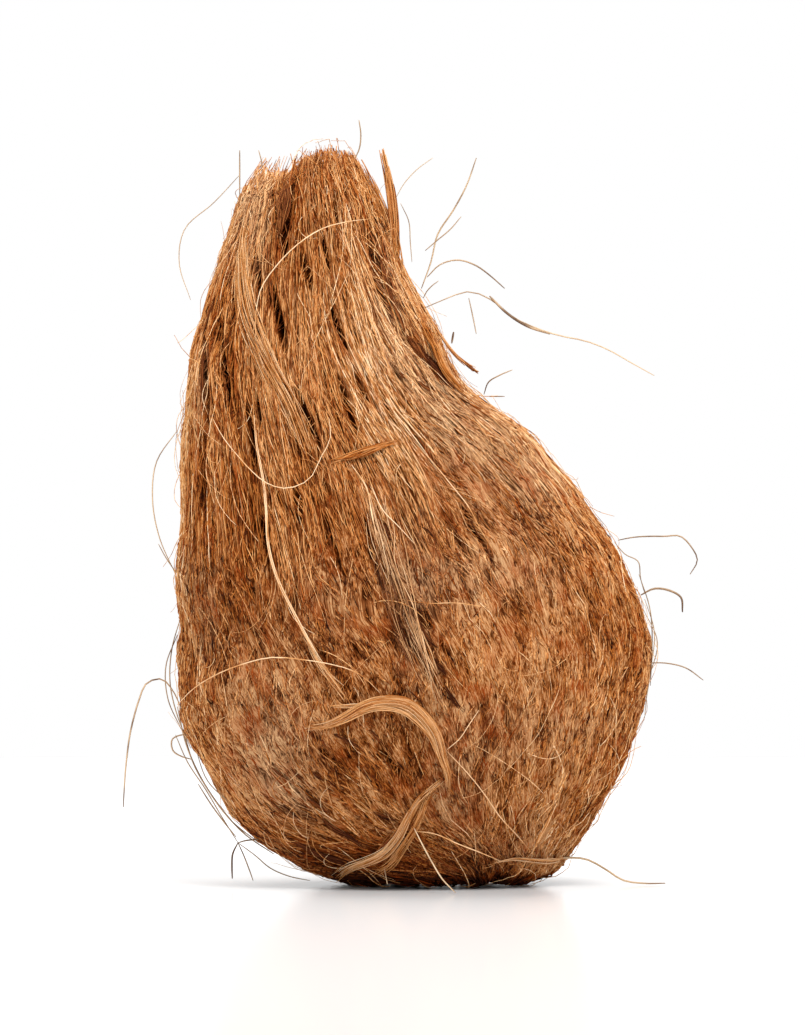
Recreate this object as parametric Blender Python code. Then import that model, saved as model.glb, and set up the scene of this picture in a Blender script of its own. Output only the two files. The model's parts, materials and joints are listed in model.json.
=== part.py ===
"""A brown coconut with its coir tuft, as picked over and dried: one grown piece, one solid.

The husk is stripped to a mat of coir round the nut. At the stem end the coir is left long and
cut off as a tuft, which leans to one side of the nut. The nut stands on a small flat spot.

Frame: metres, +Z up. The origin is under the middle of the whole piece, on the surface that it
stands on. +X is the side on which the nut's shoulder bulges, and the tuft leans to -X.
Run: blender --background --python part.py
"""

import math

import bmesh
import bpy
from mathutils import Vector

# Driving dimensions, in metres
HEIGHT = 0.195  # flat spot to the top of the cut tuft
WIDTH = 0.1255  # across the nut, shoulder to the tuft's side
DEPTH = 0.113  # across the nut, front to back

# Outline of the piece, from the flat spot up to the cut: share of HEIGHT, share of WIDTH of
# the left and the right side, and share of DEPTH that the section is deep.
STATIONS = (
    (0.000, 0.355, 0.735, 0.420),
    (0.012, 0.295, 0.780, 0.500),
    (0.047, 0.195, 0.832, 0.650),
    (0.115, 0.082, 0.900, 0.820),
    (0.183, 0.024, 0.952, 0.930),
    (0.251, 0.004, 0.988, 0.985),
    (0.318, 0.000, 1.000, 1.000),
    (0.386, 0.001, 0.974, 0.980),
    (0.454, 0.001, 0.928, 0.930),
    (0.522, 0.002, 0.861, 0.855),
    (0.589, 0.004, 0.775, 0.765),
    (0.657, 0.014, 0.668, 0.680),
    (0.725, 0.028, 0.588, 0.605),
    (0.793, 0.056, 0.523, 0.540),
    (0.860, 0.089, 0.470, 0.480),
    (0.928, 0.122, 0.430, 0.425),
    (0.975, 0.138, 0.403, 0.385),
    (1.000, 0.160, 0.385, 0.350),
)

# The tuft's cut end
CUT_FROM = 0.90  # share of HEIGHT above which the cut makes the rim uneven
LEFT_LOCK_DROP = 0.0068  # the left locks end this far below the rest
CUT_HOLLOW = 0.0045  # depth of the ragged hollow inside the cut rim
RAGGED = 0.0008  # unevenness of the rim from lock to lock

# Grooves and swellings of the coir
NUT_SIDES = 3  # a coconut's faint three-sided section
NUT_SWELL = 0.010  # share of the radius
LOCKS = 11  # locks of coir round the tuft
LOCK_SWELL = 0.055  # share of the radius
LOCK_FROM, LOCK_FULL = 0.50, 0.78  # shares of HEIGHT over which the locks grow out of the mat
SEAM_DEPTH = 0.0022  # crease in front where the tuft's coir leaves the nut
SEAM_HALF_WIDTH = 0.16  # radians
SEAM_LOW, SEAM_HIGH = 0.10, 0.60  # shares of HEIGHT that the crease runs between
SEAM_ANGLE = math.radians(-88)  # faces the front, -Y
SEAM_TURN = math.radians(6)  # how far the crease swings towards +X on its way down

# The stiff splinter that stands off the tuft's right side
SPLINTER_FOOT = Vector((-0.0085, -0.006, 0.158))  # buried in the tuft
SPLINTER_BEND = Vector((-0.0045, -0.006, 0.178))
SPLINTER_TIP = Vector((-0.0088, -0.006, 0.1945))
SPLINTER_RADIUS = 0.0011
SPLINTER_TIP_RADIUS = 0.0008
SPLINTER_SIDES = 8
SPLINTER_STEPS = 10

SIDES = 72  # points round a section
RINGS = 42  # sections between the flat spot and the cut
COIR_COLOUR = (0.40, 0.17, 0.06, 1.0)
COIR_ROUGHNESS = 0.85


def clear_scene():
    """Removes what a new file holds."""
    for old in list(bpy.data.objects):
        bpy.data.objects.remove(old, do_unlink=True)


def smooth_step(low, high, value):
    """0 below low, 1 above high, and an S-curve between."""
    share = min(1.0, max(0.0, (value - low) / (high - low)))
    return share * share * (3.0 - 2.0 * share)


def slope(index, column):
    """The outline's slope at one station, for a smooth curve through all of them."""
    before = STATIONS[max(0, index - 1)]
    after = STATIONS[min(len(STATIONS) - 1, index + 1)]
    return (after[column] - before[column]) / (after[0] - before[0])


def outline(height, column):
    """A side or the depth of the section at a share of HEIGHT, by cubic Hermite curves."""
    index = 0
    while index < len(STATIONS) - 2 and STATIONS[index + 1][0] < height:
        index += 1
    low, high = STATIONS[index], STATIONS[index + 1]
    span = high[0] - low[0]
    t = (height - low[0]) / span
    return (
        (2 * t**3 - 3 * t**2 + 1) * low[column]
        + (t**3 - 2 * t**2 + t) * span * slope(index, column)
        + (3 * t**2 - 2 * t**3) * high[column]
        + (t**3 - t**2) * span * slope(index + 1, column)
    )


def seam_depth(height, angle):
    """How far the front crease cuts in at this height and angle."""
    middle = SEAM_ANGLE + SEAM_TURN * (1.0 - height)
    off = (angle - middle + math.pi) % (2.0 * math.pi) - math.pi
    along = smooth_step(SEAM_LOW, SEAM_LOW + 0.12, height)
    along *= 1.0 - smooth_step(SEAM_HIGH - 0.12, SEAM_HIGH, height)
    return SEAM_DEPTH * along * math.exp(-((off / SEAM_HALF_WIDTH) ** 2))


def swell(height, angle):
    """Share of the radius by which the nut's three sides and the tuft's locks stand out."""
    locks = smooth_step(LOCK_FROM, LOCK_FULL, height)
    nut = NUT_SWELL * (1.0 - locks) * smooth_step(0.0, 0.2, height)
    rounded = abs(math.cos(0.5 * LOCKS * angle + 1.3 * math.sin(2.0 * angle)))
    return nut * math.cos(NUT_SIDES * angle - 0.6) + LOCK_SWELL * locks * (rounded - 0.6)


def rim_drop(height, angle):
    """How far the uneven cut lowers this point of the tuft."""
    to_left = smooth_step(0.15, 0.75, -math.cos(angle))
    ragged = RAGGED * (math.sin(7.0 * angle + 0.5) + math.sin(4.0 * angle + 2.0))
    return smooth_step(CUT_FROM, 1.0, height) * (LEFT_LOCK_DROP * to_left + ragged + 2 * RAGGED)


def surface_point(height, angle):
    """A point of the outer surface at a share of HEIGHT, at an angle from +X about +Z."""
    left, right, deep = (outline(height, column) for column in (1, 2, 3))
    half_width = 0.5 * (right - left) * WIDTH
    half_depth = 0.5 * deep * DEPTH
    grown = 1.0 + swell(height, angle)
    cut_in = seam_depth(height, angle)
    return Vector(
        (
            (0.5 * (left + right) - 0.5) * WIDTH
            + math.cos(angle) * (half_width * grown - cut_in),
            math.sin(angle) * (half_depth * grown - cut_in),
            height * HEIGHT - rim_drop(height, angle),
        )
    )


def ring_heights():
    """Shares of HEIGHT of the sections, closer together at the flat spot and at the cut."""
    return [0.5 - 0.5 * math.cos(math.pi * i / RINGS) for i in range(RINGS + 1)]


def bridge(mesh, lower, upper):
    """Joins two rings of vertices with faces that point outwards."""
    for i in range(len(lower)):
        j = (i + 1) % len(lower)
        mesh.faces.new((lower[i], lower[j], upper[j], upper[i]))


def hollow_cut(mesh, rim):
    """Closes the cut end with a ragged hollow: two smaller rings and a middle point."""
    middle = sum((v.co for v in rim), Vector()) / len(rim)
    outer = rim
    for inward, sunk in ((0.25, 0.45), (0.60, 0.90)):
        ring = []
        for i, vertex in enumerate(rim):
            at = vertex.co.lerp(middle, inward)
            ridge = RAGGED * math.sin(5.0 * 2.0 * math.pi * i / len(rim))
            at.z -= CUT_HOLLOW * sunk + ridge
            ring.append(mesh.verts.new(at))
        bridge(mesh, outer, ring)
        outer = ring
    bottom = mesh.verts.new(middle - Vector((0.0, 0.0, CUT_HOLLOW)))
    for i in range(len(outer)):
        mesh.faces.new((outer[i], outer[(i + 1) % len(outer)], bottom))


def new_object(name, mesh, material):
    """Makes an object from a bmesh, shades it smooth and gives it its material."""
    data = bpy.data.meshes.new(name)
    mesh.normal_update()
    mesh.to_mesh(data)
    mesh.free()
    data.materials.append(material)
    data.shade_smooth()
    made = bpy.data.objects.new(name, data)
    bpy.context.scene.collection.objects.link(made)
    return made


def build_body(material):
    """The nut in its mat of coir, with the tuft, as one closed skin."""
    mesh = bmesh.new()
    rings = []
    for height in ring_heights():
        angles = [2.0 * math.pi * i / SIDES for i in range(SIDES)]
        rings.append([mesh.verts.new(surface_point(height, angle)) for angle in angles])
    for lower, upper in zip(rings, rings[1:]):
        bridge(mesh, lower, upper)
    mesh.faces.new(reversed(rings[0]))  # the flat spot
    hollow_cut(mesh, rings[-1])
    return new_object("coconut", mesh, material)


def build_splinter(material):
    """A tapering stick bent along a quadratic curve, which the body is joined with."""
    mesh = bmesh.new()
    rings = []
    for step in range(SPLINTER_STEPS + 1):
        t = step / SPLINTER_STEPS
        low = SPLINTER_FOOT.lerp(SPLINTER_BEND, t)
        high = SPLINTER_BEND.lerp(SPLINTER_TIP, t)
        along = (high - low).normalized()
        side = along.cross(Vector((0.0, 1.0, 0.0))).normalized()
        front = side.cross(along)
        radius = SPLINTER_RADIUS + (SPLINTER_TIP_RADIUS - SPLINTER_RADIUS) * t
        ring = []
        for i in range(SPLINTER_SIDES):
            turn = 2.0 * math.pi * i / SPLINTER_SIDES
            at = low.lerp(high, t) + (side * math.cos(turn) - front * math.sin(turn)) * radius
            ring.append(mesh.verts.new(at))
        rings.append(ring)
    for lower, upper in zip(rings, rings[1:]):
        bridge(mesh, lower, upper)
    mesh.faces.new(reversed(rings[0]))
    mesh.faces.new(rings[-1])
    bmesh.ops.recalc_face_normals(mesh, faces=mesh.faces)
    splinter = new_object("splinter_tool", mesh, material)
    splinter.hide_render = True
    splinter.display_type = "WIRE"
    return splinter


def centre_on_origin(made):
    """Moves the piece so that the origin is under the middle of its bounding box."""
    corners = [vertex.co for vertex in made.data.vertices]
    low = Vector([min(at[k] for at in corners) for k in range(3)])
    high = Vector([max(at[k] for at in corners) for k in range(3)])
    made.location = Vector((-(low.x + high.x) / 2.0, -(low.y + high.y) / 2.0, -low.z))


def coir_material():
    """Dry coir: a rough, warm brown fibre."""
    material = bpy.data.materials.new("coir")
    material.use_nodes = True
    shader = material.node_tree.nodes["Principled BSDF"]
    shader.inputs["Base Color"].default_value = COIR_COLOUR
    shader.inputs["Roughness"].default_value = COIR_ROUGHNESS
    shader.inputs["Metallic"].default_value = 0.0
    material.diffuse_color = COIR_COLOUR
    return material


def main():
    """Builds the coconut."""
    clear_scene()
    coir = coir_material()
    coconut = build_body(coir)
    join = coconut.modifiers.new("splinter", "BOOLEAN")
    join.operation = "UNION"
    join.solver = "EXACT"
    join.object = build_splinter(coir)
    centre_on_origin(coconut)


main()
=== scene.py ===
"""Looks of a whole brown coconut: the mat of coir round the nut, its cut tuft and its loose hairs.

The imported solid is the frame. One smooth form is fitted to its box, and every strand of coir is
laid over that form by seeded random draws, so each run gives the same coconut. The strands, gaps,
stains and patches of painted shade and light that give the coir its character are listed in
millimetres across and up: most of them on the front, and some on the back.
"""

from __future__ import annotations

import json
import logging
import math
from dataclasses import dataclass, field
from enum import Enum

import bpy
import numpy as np
from bpy.types import Camera, Light, Material, Node, NodeSocket, NodeTree, Object
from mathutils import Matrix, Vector
from mathutils.kdtree import KDTree

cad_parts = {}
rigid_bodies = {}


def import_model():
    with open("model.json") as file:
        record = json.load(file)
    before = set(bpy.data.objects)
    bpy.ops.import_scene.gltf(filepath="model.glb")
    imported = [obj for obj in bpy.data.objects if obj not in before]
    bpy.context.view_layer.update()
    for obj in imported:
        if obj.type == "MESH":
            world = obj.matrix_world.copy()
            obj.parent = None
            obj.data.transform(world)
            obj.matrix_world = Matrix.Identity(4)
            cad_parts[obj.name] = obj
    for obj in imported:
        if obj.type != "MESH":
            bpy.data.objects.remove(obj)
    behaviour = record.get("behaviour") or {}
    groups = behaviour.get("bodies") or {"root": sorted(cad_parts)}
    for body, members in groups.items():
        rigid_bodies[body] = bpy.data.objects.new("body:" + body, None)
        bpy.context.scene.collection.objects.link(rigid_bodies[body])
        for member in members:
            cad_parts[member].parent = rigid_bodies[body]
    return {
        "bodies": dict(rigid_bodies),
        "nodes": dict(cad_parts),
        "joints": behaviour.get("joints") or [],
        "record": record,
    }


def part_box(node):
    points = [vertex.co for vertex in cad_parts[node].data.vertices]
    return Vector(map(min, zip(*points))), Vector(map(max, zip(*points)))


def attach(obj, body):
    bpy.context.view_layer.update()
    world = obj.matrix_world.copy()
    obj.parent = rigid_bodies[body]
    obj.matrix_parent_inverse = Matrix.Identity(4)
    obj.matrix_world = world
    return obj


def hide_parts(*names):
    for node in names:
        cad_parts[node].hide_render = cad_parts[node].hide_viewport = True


LOG = logging.getLogger("coconut")
MM = 0.001
TURN = 2.0 * math.pi
CAD_NODE = "coconut"
CAD_BODY = "root"
BAKE_MAP = "OFBake"  # the map that the looks are baked on
FLOOR_GAP = 0.2 * MM  # room between the coir and the floor
CURVE_STEPS = 24  # steps from one point of a smooth curve to the next
Array = np.ndarray
Pair = tuple[float, float]
Points = tuple[Pair, ...]
Streaks = tuple[tuple[Points, float, float], ...]


# ---- Small tools ----


def linear(hex_colour: str) -> tuple[float, float, float, float]:
    """Turns an sRGB hex value into the linear colour that shaders take.

    Args:
        hex_colour: Six hex digits, with or without a leading #.

    Returns:
        Red, green, blue and an alpha of 1.
    """
    digits = hex_colour.lstrip("#")
    shares = [int(digits[i : i + 2], 16) / 255.0 for i in (0, 2, 4)]
    red, green, blue = (
        s / 12.92 if s <= 0.04045 else ((s + 0.055) / 1.055) ** 2.4 for s in shares
    )
    return red, green, blue, 1.0


def add_node(
    tree: NodeTree,
    kind: str,
    settings: dict[str, object] | None = None,
    values: dict[str | int, object] | None = None,
    links: dict[str | int, NodeSocket] | None = None,
) -> Node:
    """Adds one shader node.

    Args:
        tree: The material's node tree.
        kind: The node's type name without ShaderNode, such as Bump.
        settings: The node's own properties.
        values: Numbers for its input sockets.
        links: Output sockets to join to its input sockets.

    Returns:
        The new node.
    """
    node = tree.nodes.new("ShaderNode" + kind)
    for name, value in (settings or {}).items():
        setattr(node, name, value)
    for name, value in (values or {}).items():
        node.inputs[name].default_value = value
    for name, socket in (links or {}).items():
        tree.links.new(socket, node.inputs[name])
    return node


def smooth_step(low: float, high: float, value: Array) -> Array:
    """Gives 0 below low, 1 above high, and an S-curve between."""
    share = np.clip((value - low) / (high - low), 0.0, 1.0)
    return share * share * (3.0 - 2.0 * share)


def bell(*steps: Array) -> Array:
    """Gives 1 where all the steps are 0, and falls off as a bell curve where they near 1."""
    return np.exp(-sum(step**2 for step in steps))


def unit(vectors: Array) -> Array:
    """Scales vectors along the last axis to length 1."""
    return vectors / np.maximum(np.linalg.norm(vectors, axis=-1, keepdims=True), 1e-12)


def smooth_curve(points: Array, count: int) -> Array:
    """Runs a Catmull-Rom curve through points and spaces the result evenly.

    Args:
        points: The points that the curve passes, shape (P, D).
        count: How many points to give back.

    Returns:
        Points evenly spaced along the curve, shape (count, D).
    """
    ends = np.vstack([2 * points[0] - points[1], points, 2 * points[-1] - points[-2]])
    t = np.linspace(0.0, 1.0, CURVE_STEPS, endpoint=False)[:, None]
    fine = []
    for a, b, c, d in zip(ends, ends[1:], ends[2:], ends[3:]):
        bend = (2 * a - 5 * b + 4 * c - d) * t**2 + (3 * b - a - 3 * c + d) * t**3
        fine.append(0.5 * (2 * b + (c - a) * t + bend))
    line = np.vstack([*fine, points[-1:]])
    along = np.append(0.0, np.cumsum(np.linalg.norm(np.diff(line, axis=0), axis=1)))
    even = np.linspace(0.0, along[-1], count)
    return np.stack([np.interp(even, along, column) for column in line.T], axis=1)


@dataclass(frozen=True)
class Noise:
    """Smooth random values from -1 to 1 over the coconut's outside, which meet round the back.

    Attributes:
        seed: Starts the random draws.
        around: Cells round the piece.
        along: Cells from the flat spot to the cut.
    """

    seed: int
    around: int
    along: int

    TOP = 1.1  # it goes on past the cut, for the strands that stand above it

    def __call__(self, s: Array, turn: Array) -> Array:
        """Reads the noise.

        Args:
            s: Places along the piece, 0 at the flat spot's middle and 1 at the cut.
            turn: Places round the piece, in turns.

        Returns:
            A value for each place.
        """
        values = np.random.default_rng(self.seed).uniform(-1.0, 1.0, (self.along + 3, self.around))
        row = np.clip(s, 0.0, self.TOP) * self.along
        column = np.mod(turn, 1.0) * self.around
        r, c = np.minimum(row.astype(int), self.along + 1), column.astype(int)
        up, across = row - r, column - c
        up = up * up * (3 - 2 * up)
        across = across * across * (3 - 2 * across)
        left, right = c % self.around, (c + 1) % self.around
        low = values[r, left] * (1 - across) + values[r, right] * across
        high = values[r + 1, left] * (1 - across) + values[r + 1, right] * across
        return low * (1 - up) + high * up


Noises = tuple[tuple[float, Noise], ...]


def added(noises: Noises, s: Array, turn: Array) -> Array:
    """Adds noises up, each with its own height."""
    return sum(height * noise(s, turn) for height, noise in noises)


# ---- The form that all strands lie on ----


@dataclass(frozen=True)
class Parting:
    """A gap between strands, as in parted hair, widest in the middle of its length.

    Attributes:
        s: Places along the piece that its line passes, from low to high.
        turn: The same points round the piece, in turns.
        half_width: In metres.
        depth: How deep the mat below is cut, in metres.
    """

    s: Array
    turn: Array
    half_width: float
    depth: float

    END_FADE = 0.008  # how far past the ends of its line it closes, along the piece

    def read(self, s: Array, turn: Array, girth: Array) -> tuple[Array, ...]:
        """Measures places from the parting's line.

        Args:
            s: Places along the piece.
            turn: Places round it.
            girth: Length round the piece at those places.

        Returns:
            Metres across, and the share of its full width that the parting has there.
        """
        across = turn - np.interp(s, self.s, self.turn)
        reach = self.s[-1] - self.s[0] + 2.0 * self.END_FADE
        share = np.clip((s - self.s[0] + self.END_FADE) / reach, 0.0, 1.0)
        return (np.mod(across + 0.5, 1.0) - 0.5) * girth, np.sqrt(4 * share * (1 - share))


@dataclass(frozen=True)
class Comb:
    """Locks of one width that lie side by side, with gaps that open and close between them.

    Attributes:
        seed: Starts the random draws.
        count: Locks round the piece.
        gap: Share of a lock's width that an open gap takes.
        ridge: How far a lock's middle stands out, in metres.
        pit: How deep an open gap is, in metres.
        tuft: Strength on the tuft.
        nut: Strength on the nut.
    """

    seed: int
    count: int
    gap: float
    ridge: float
    pit: float
    tuft: float
    nut: float

    WANDER = 1.1  # how far the locks wander sideways, in widths of a lock
    WANDER_CELLS = 6  # cells of the wander from the flat spot to the cut
    OPENING_CELLS = 15  # cells in which the gaps open and close
    OPENING = (-0.2, 0.7)  # noise at which a gap is shut, and wide open

    def strength(self, tuft: Array) -> Array:
        """Gives how strongly the locks show, where the tuft has the given share."""
        return self.nut + (self.tuft - self.nut) * tuft

    def read(self, s: Array, turn: Array, own: int | None = None) -> tuple[Array, Array]:
        """Measures places from the middles of their locks.

        Args:
            s: Places along the piece.
            turn: Places round it.
            own: Number of the strand's point that decides which lock the strand belongs to.

        Returns:
            Places across the lock, from -0.5 to 0.5, and how far the gaps are open, 0 to 1.
        """
        wander = Noise(self.seed, self.count // 2, self.WANDER_CELLS)(s, turn)
        phase = self.count * turn + self.WANDER * wander
        lock = np.round(phase if own is None else phase[:, own : own + 1])
        opening = Noise(self.seed + 1, self.count, self.OPENING_CELLS)(s, turn)
        return np.clip(phase - lock, -0.5, 0.5), smooth_step(*self.OPENING, opening)


@dataclass
class CoconutForm:
    """The coconut's smooth outer form, with its lumps, locks and partings.

    A place on it is s, from 0 at the middle of the flat spot to 1 at the cut, and turn, from 0
    at +X, in turns about +Z. The front, -Y, is at a turn of 0.75.

    Attributes:
        low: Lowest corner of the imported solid.
        high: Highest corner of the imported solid.
        partings: Gaps that strands bend round.
        left_lock_drop: How much lower the left locks are cut.
        cut_dome: How far the cut falls off to its sides.
        underside_hollow: How far the underside's middle stands off the floor.
        side_feet: How far its front and back edges do.
        lump: Height of the mat's lumps.
        rough: Height of its roughness.
        tuft_sunk: Room that the tuft leaves for its loose strands.
        drum: Radius of the upright drum that patterns are drawn on.
        least_girth: Girth near the middle of the underside, where strands would crowd.
    """

    low: Vector
    high: Vector
    partings: list[Parting] = field(default_factory=list)
    left_lock_drop: float = 3.6 * MM
    cut_dome: float = 3.0 * MM
    underside_hollow: float = 3.0 * MM
    side_feet: float = 0.5 * MM
    lump: float = 0.8 * MM
    rough: float = 0.3 * MM
    tuft_sunk: float = 1.1 * MM
    drum: float = 50 * MM
    least_girth: float = 30 * MM

    # Shares of the height: where the feet end, and where the cut starts to slope
    FEET_TOP = 0.06
    CUT_FROM = 0.9
    # The height at which the tuft begins on the left, how much higher it does on the right and
    # over which cosines, how uneven that edge is, and how far it fades down and up
    TUFT_FROM, TUFT_RISE, TUFT_SIDES = 0.45, 0.23, (0.2, 0.55)
    TUFT_WAVES = ((0.045, Noise(10, 30, 3)), (0.03, Noise(17, 76, 4)))
    TUFT_FADE = (0.12, 0.06)
    # Where the coir is swept round the base: middle turn, reach, and heights it fades between
    SWEPT_TURN, SWEPT_REACH, SWEPT_FADE = 0.66, 0.16, (0.14, 0.33)
    # How the grain turns off upright there: middle turn and reach, then the slope below each
    # of two heights, and how far down that slope goes on
    GRAIN_TURN, GRAIN_REACH = 0.68, 0.18
    GRAIN_SLOPES = ((1.3, 0.22, 0.2), (0.4, 0.45, 0.4))
    TUFT_SQUEEZE = 0.4  # the tuft's patterns run this share longer
    BEND_REACH = 5.0  # strands bend round a gap over this many of its half widths
    CUT_REACH = 1.2  # and a gap cuts the mat over this many
    GAP_SIDES = (0.7, 0.1)  # where its sides start and end between locks, in open gap's widths
    FLECK_FADE = (0.2, 0.75)  # noise at which a small pit starts, and is full
    # Cosines of the turn: over which the left locks drop, and the cut dome's middle and reach
    LEFT_FADE, DOME_MIDDLE, DOME_REACH = (0.22, 0.42), 0.45, 0.65
    LUMPS = ((1.0, Noise(11, 14, 12)), (0.7, Noise(12, 40, 32)))
    ROUGHNESS = ((1.0, Noise(15, 110, 60)), (0.7, Noise(16, 230, 120)))
    TABLE_ROWS = 1201  # rows of the outline's table
    LENGTH_SIDES = 8  # sides on which the length is measured, for its mean
    SMALL_STEP = (0.004, 0.002)  # along and round, to measure which way the surface faces

    # Share of the height, shares of the width of the left and right sides, share of the depth
    STATIONS = (
        (0.000, 0.355, 0.735, 0.420),
        (0.012, 0.295, 0.780, 0.500),
        (0.047, 0.195, 0.832, 0.650),
        (0.115, 0.082, 0.900, 0.820),
        (0.183, 0.024, 0.952, 0.930),
        (0.251, 0.004, 0.988, 0.985),
        (0.318, 0.000, 1.000, 1.000),
        (0.386, 0.001, 0.974, 0.980),
        (0.454, 0.001, 0.928, 0.930),
        (0.522, 0.002, 0.861, 0.855),
        (0.589, 0.004, 0.775, 0.765),
        (0.657, 0.014, 0.668, 0.680),
        (0.725, 0.028, 0.588, 0.605),
        (0.793, 0.056, 0.523, 0.540),
        (0.860, 0.089, 0.470, 0.480),
        (0.928, 0.122, 0.430, 0.425),
        (0.975, 0.138, 0.403, 0.385),
        (1.000, 0.160, 0.385, 0.350),
    )
    COMBS = (
        Comb(41, 23, 0.1, 0.6 * MM, 0.8 * MM, 1.0, 0.1),
        Comb(43, 76, 0.2, 0.3 * MM, 0.7 * MM, 1.0, 0.25),
        Comb(45, 190, 0.28, 0.1 * MM, 0.4 * MM, 0.8, 0.3),
    )
    # Where the outline is trimmed: side (1 for +X), height, reach up and down, and depth, in mm
    TRIMS = (
        (-1, 27, 10, 3.3),
        (-1, 66, 9, 1.7),
        (-1, 107, 20, -0.4),
        (1, 29, 9, -1.0),
        (1, 119, 6, -1.4),
        (1, 136, 8, 3.0),
    )
    # Small pits between the strands: noise, and how deep they are on the nut and on the tuft
    FLECKS = (
        (Noise(51, 280, 90), 0.85 * MM, 0.4 * MM),
        (Noise(52, 120, 44), 0.55 * MM, 0.2 * MM),
        (Noise(53, 230, 34), 0.1 * MM, 0.6 * MM),
        (Noise(54, 90, 14), 0.0 * MM, 0.3 * MM),
    )

    def __post_init__(self) -> None:
        """Tabulates the outline and its length from the flat spot to the cut."""
        self.size = self.high - self.low
        knots = np.array(self.STATIONS)
        self.heights = np.linspace(0.0, 1.0, self.TABLE_ROWS)
        slopes = np.gradient(knots, knots[:, 0], axis=0)
        i = np.clip(np.searchsorted(knots[:, 0], self.heights) - 1, 0, len(knots) - 2)
        span = (knots[i + 1, 0] - knots[i, 0])[:, None]
        t = (self.heights - knots[i, 0])[:, None] / span
        rows = (
            (2 * t**3 - 3 * t**2 + 1) * knots[i]
            + (t**3 - 2 * t**2 + t) * span * slopes[i]
            + (3 * t**2 - 2 * t**3) * knots[i + 1]
            + (t**3 - t**2) * span * slopes[i + 1]
        )
        self.centre = (0.5 * (rows[:, 1] + rows[:, 2]) - 0.5) * self.size.x
        self.half_width = 0.5 * (rows[:, 2] - rows[:, 1]) * self.size.x
        self.half_depth = 0.5 * rows[:, 3] * self.size.y
        steps = 0.0
        for angle in TURN * np.arange(self.LENGTH_SIDES) / self.LENGTH_SIDES:
            side = self.centre + self.half_width * math.cos(angle)
            line = (side, self.half_depth * math.sin(angle), self.heights * self.size.z)
            steps = steps + np.linalg.norm(np.diff(line, axis=1), axis=0) / self.LENGTH_SIDES
        flat = 0.5 * (self.half_width[0] + self.half_depth[0])
        rise = np.append(0.0, np.cumsum(steps))
        self.length = flat + rise[-1]
        self.s_rim = flat / self.length
        self.s_heights = (flat + rise) / self.length

    def girth(self, s: Array) -> Array:
        """Gives the length round the section at s, and never less than the least girth."""
        wide = np.interp(s, self.s_heights, self.half_width)
        deep = np.interp(s, self.s_heights, self.half_depth)
        shrink = np.clip(s / self.s_rim, 0.0, 1.0)
        return np.maximum(math.pi * (wide + deep) * shrink, self.least_girth)

    def tuft_share(self, s: Array, turn: Array) -> Array:
        """Gives 0 on the nut's mat and 1 on the tuft, which reaches lower on the left."""
        height = np.interp(s, self.s_heights, self.heights)
        right = smooth_step(*self.TUFT_SIDES, np.cos(TURN * turn))
        edge = self.TUFT_FROM + self.TUFT_RISE * right
        edge += added(self.TUFT_WAVES, s, turn)
        return smooth_step(edge - self.TUFT_FADE[0], edge + self.TUFT_FADE[1], height)

    def swept(self, s: Array, turn: Array) -> Array:
        """Gives how strongly the coir sweeps round the base there, 0 to 1."""
        low = bell((np.mod(turn, 1.0) - self.SWEPT_TURN) / self.SWEPT_REACH)
        return low * (1.0 - smooth_step(*self.SWEPT_FADE, s))

    def along_grain(self, s: Array, turn: Array) -> Array:
        """Gives places round the piece that stay the same along the swept grain."""
        low = bell((np.mod(turn, 1.0) - self.GRAIN_TURN) / self.GRAIN_REACH)
        for slope, below, most in self.GRAIN_SLOPES:
            turn = turn - slope * low * np.clip(below - s, 0.0, most)
        return turn

    def flow(self, s: Array, turn: Array) -> Array:
        """Lays places out along the grain on an upright drum, which patterns are drawn on."""
        angle = TURN * self.along_grain(s, turn)
        up = s * self.length * (1.0 - self.TUFT_SQUEEZE * self.tuft_share(s, turn))
        return np.stack([self.drum * np.cos(angle), self.drum * np.sin(angle), up], axis=-1)

    def combed(self, s: Array, turn: Array) -> Array:
        """Moves strands round the piece so that they keep to their locks and off the gaps.

        Args:
            s: The strands' points along the piece, shape (N, K).
            turn: The same points round the piece.

        Returns:
            The points' new places round the piece.
        """
        tuft = self.tuft_share(s, turn)
        for comb in self.COMBS:
            off, opening = comb.read(s, turn, s.shape[1] // 2)
            turn = turn - off * comb.gap * opening * comb.strength(tuft) / comb.count
        girth = self.girth(s)
        for gap in self.partings:
            across, share = gap.read(s, turn, girth)
            moved = np.sqrt(across**2 + (gap.half_width * share) ** 2) - np.abs(across)
            moved *= np.sign(across) * bell(across / (self.BEND_REACH * gap.half_width))
            turn = turn + moved / girth
        return turn

    def relief(self, s: Array, turn: Array) -> Array:
        """Gives how far the mat stands out from the smooth outline, in metres."""
        tuft = self.tuft_share(s, turn)
        lumps, rough = added(self.LUMPS, s, turn), added(self.ROUGHNESS, s, turn)
        out = self.lump * (1 - 0.5 * tuft) * lumps + self.rough * (1 - 0.5 * tuft) * rough
        out -= self.tuft_sunk * tuft
        for comb in self.COMBS:
            off, _ = comb.read(s, turn)
            out += comb.ridge * comb.strength(tuft) * (0.5 - 4 * off**2)
        return out

    def trimmed(self, s: Array, turn: Array) -> Array:
        """Gives how far the sides are trimmed there, in metres."""
        height = np.interp(s, self.s_heights, self.heights) * self.size.z / MM
        cut = np.zeros(s.shape)
        for side, middle, reach, depth in self.TRIMS:
            facing = np.clip(side * np.cos(TURN * turn), 0.0, 1.0) ** 2
            cut += depth * MM * facing * bell((height - middle) / reach)
        return cut

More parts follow.
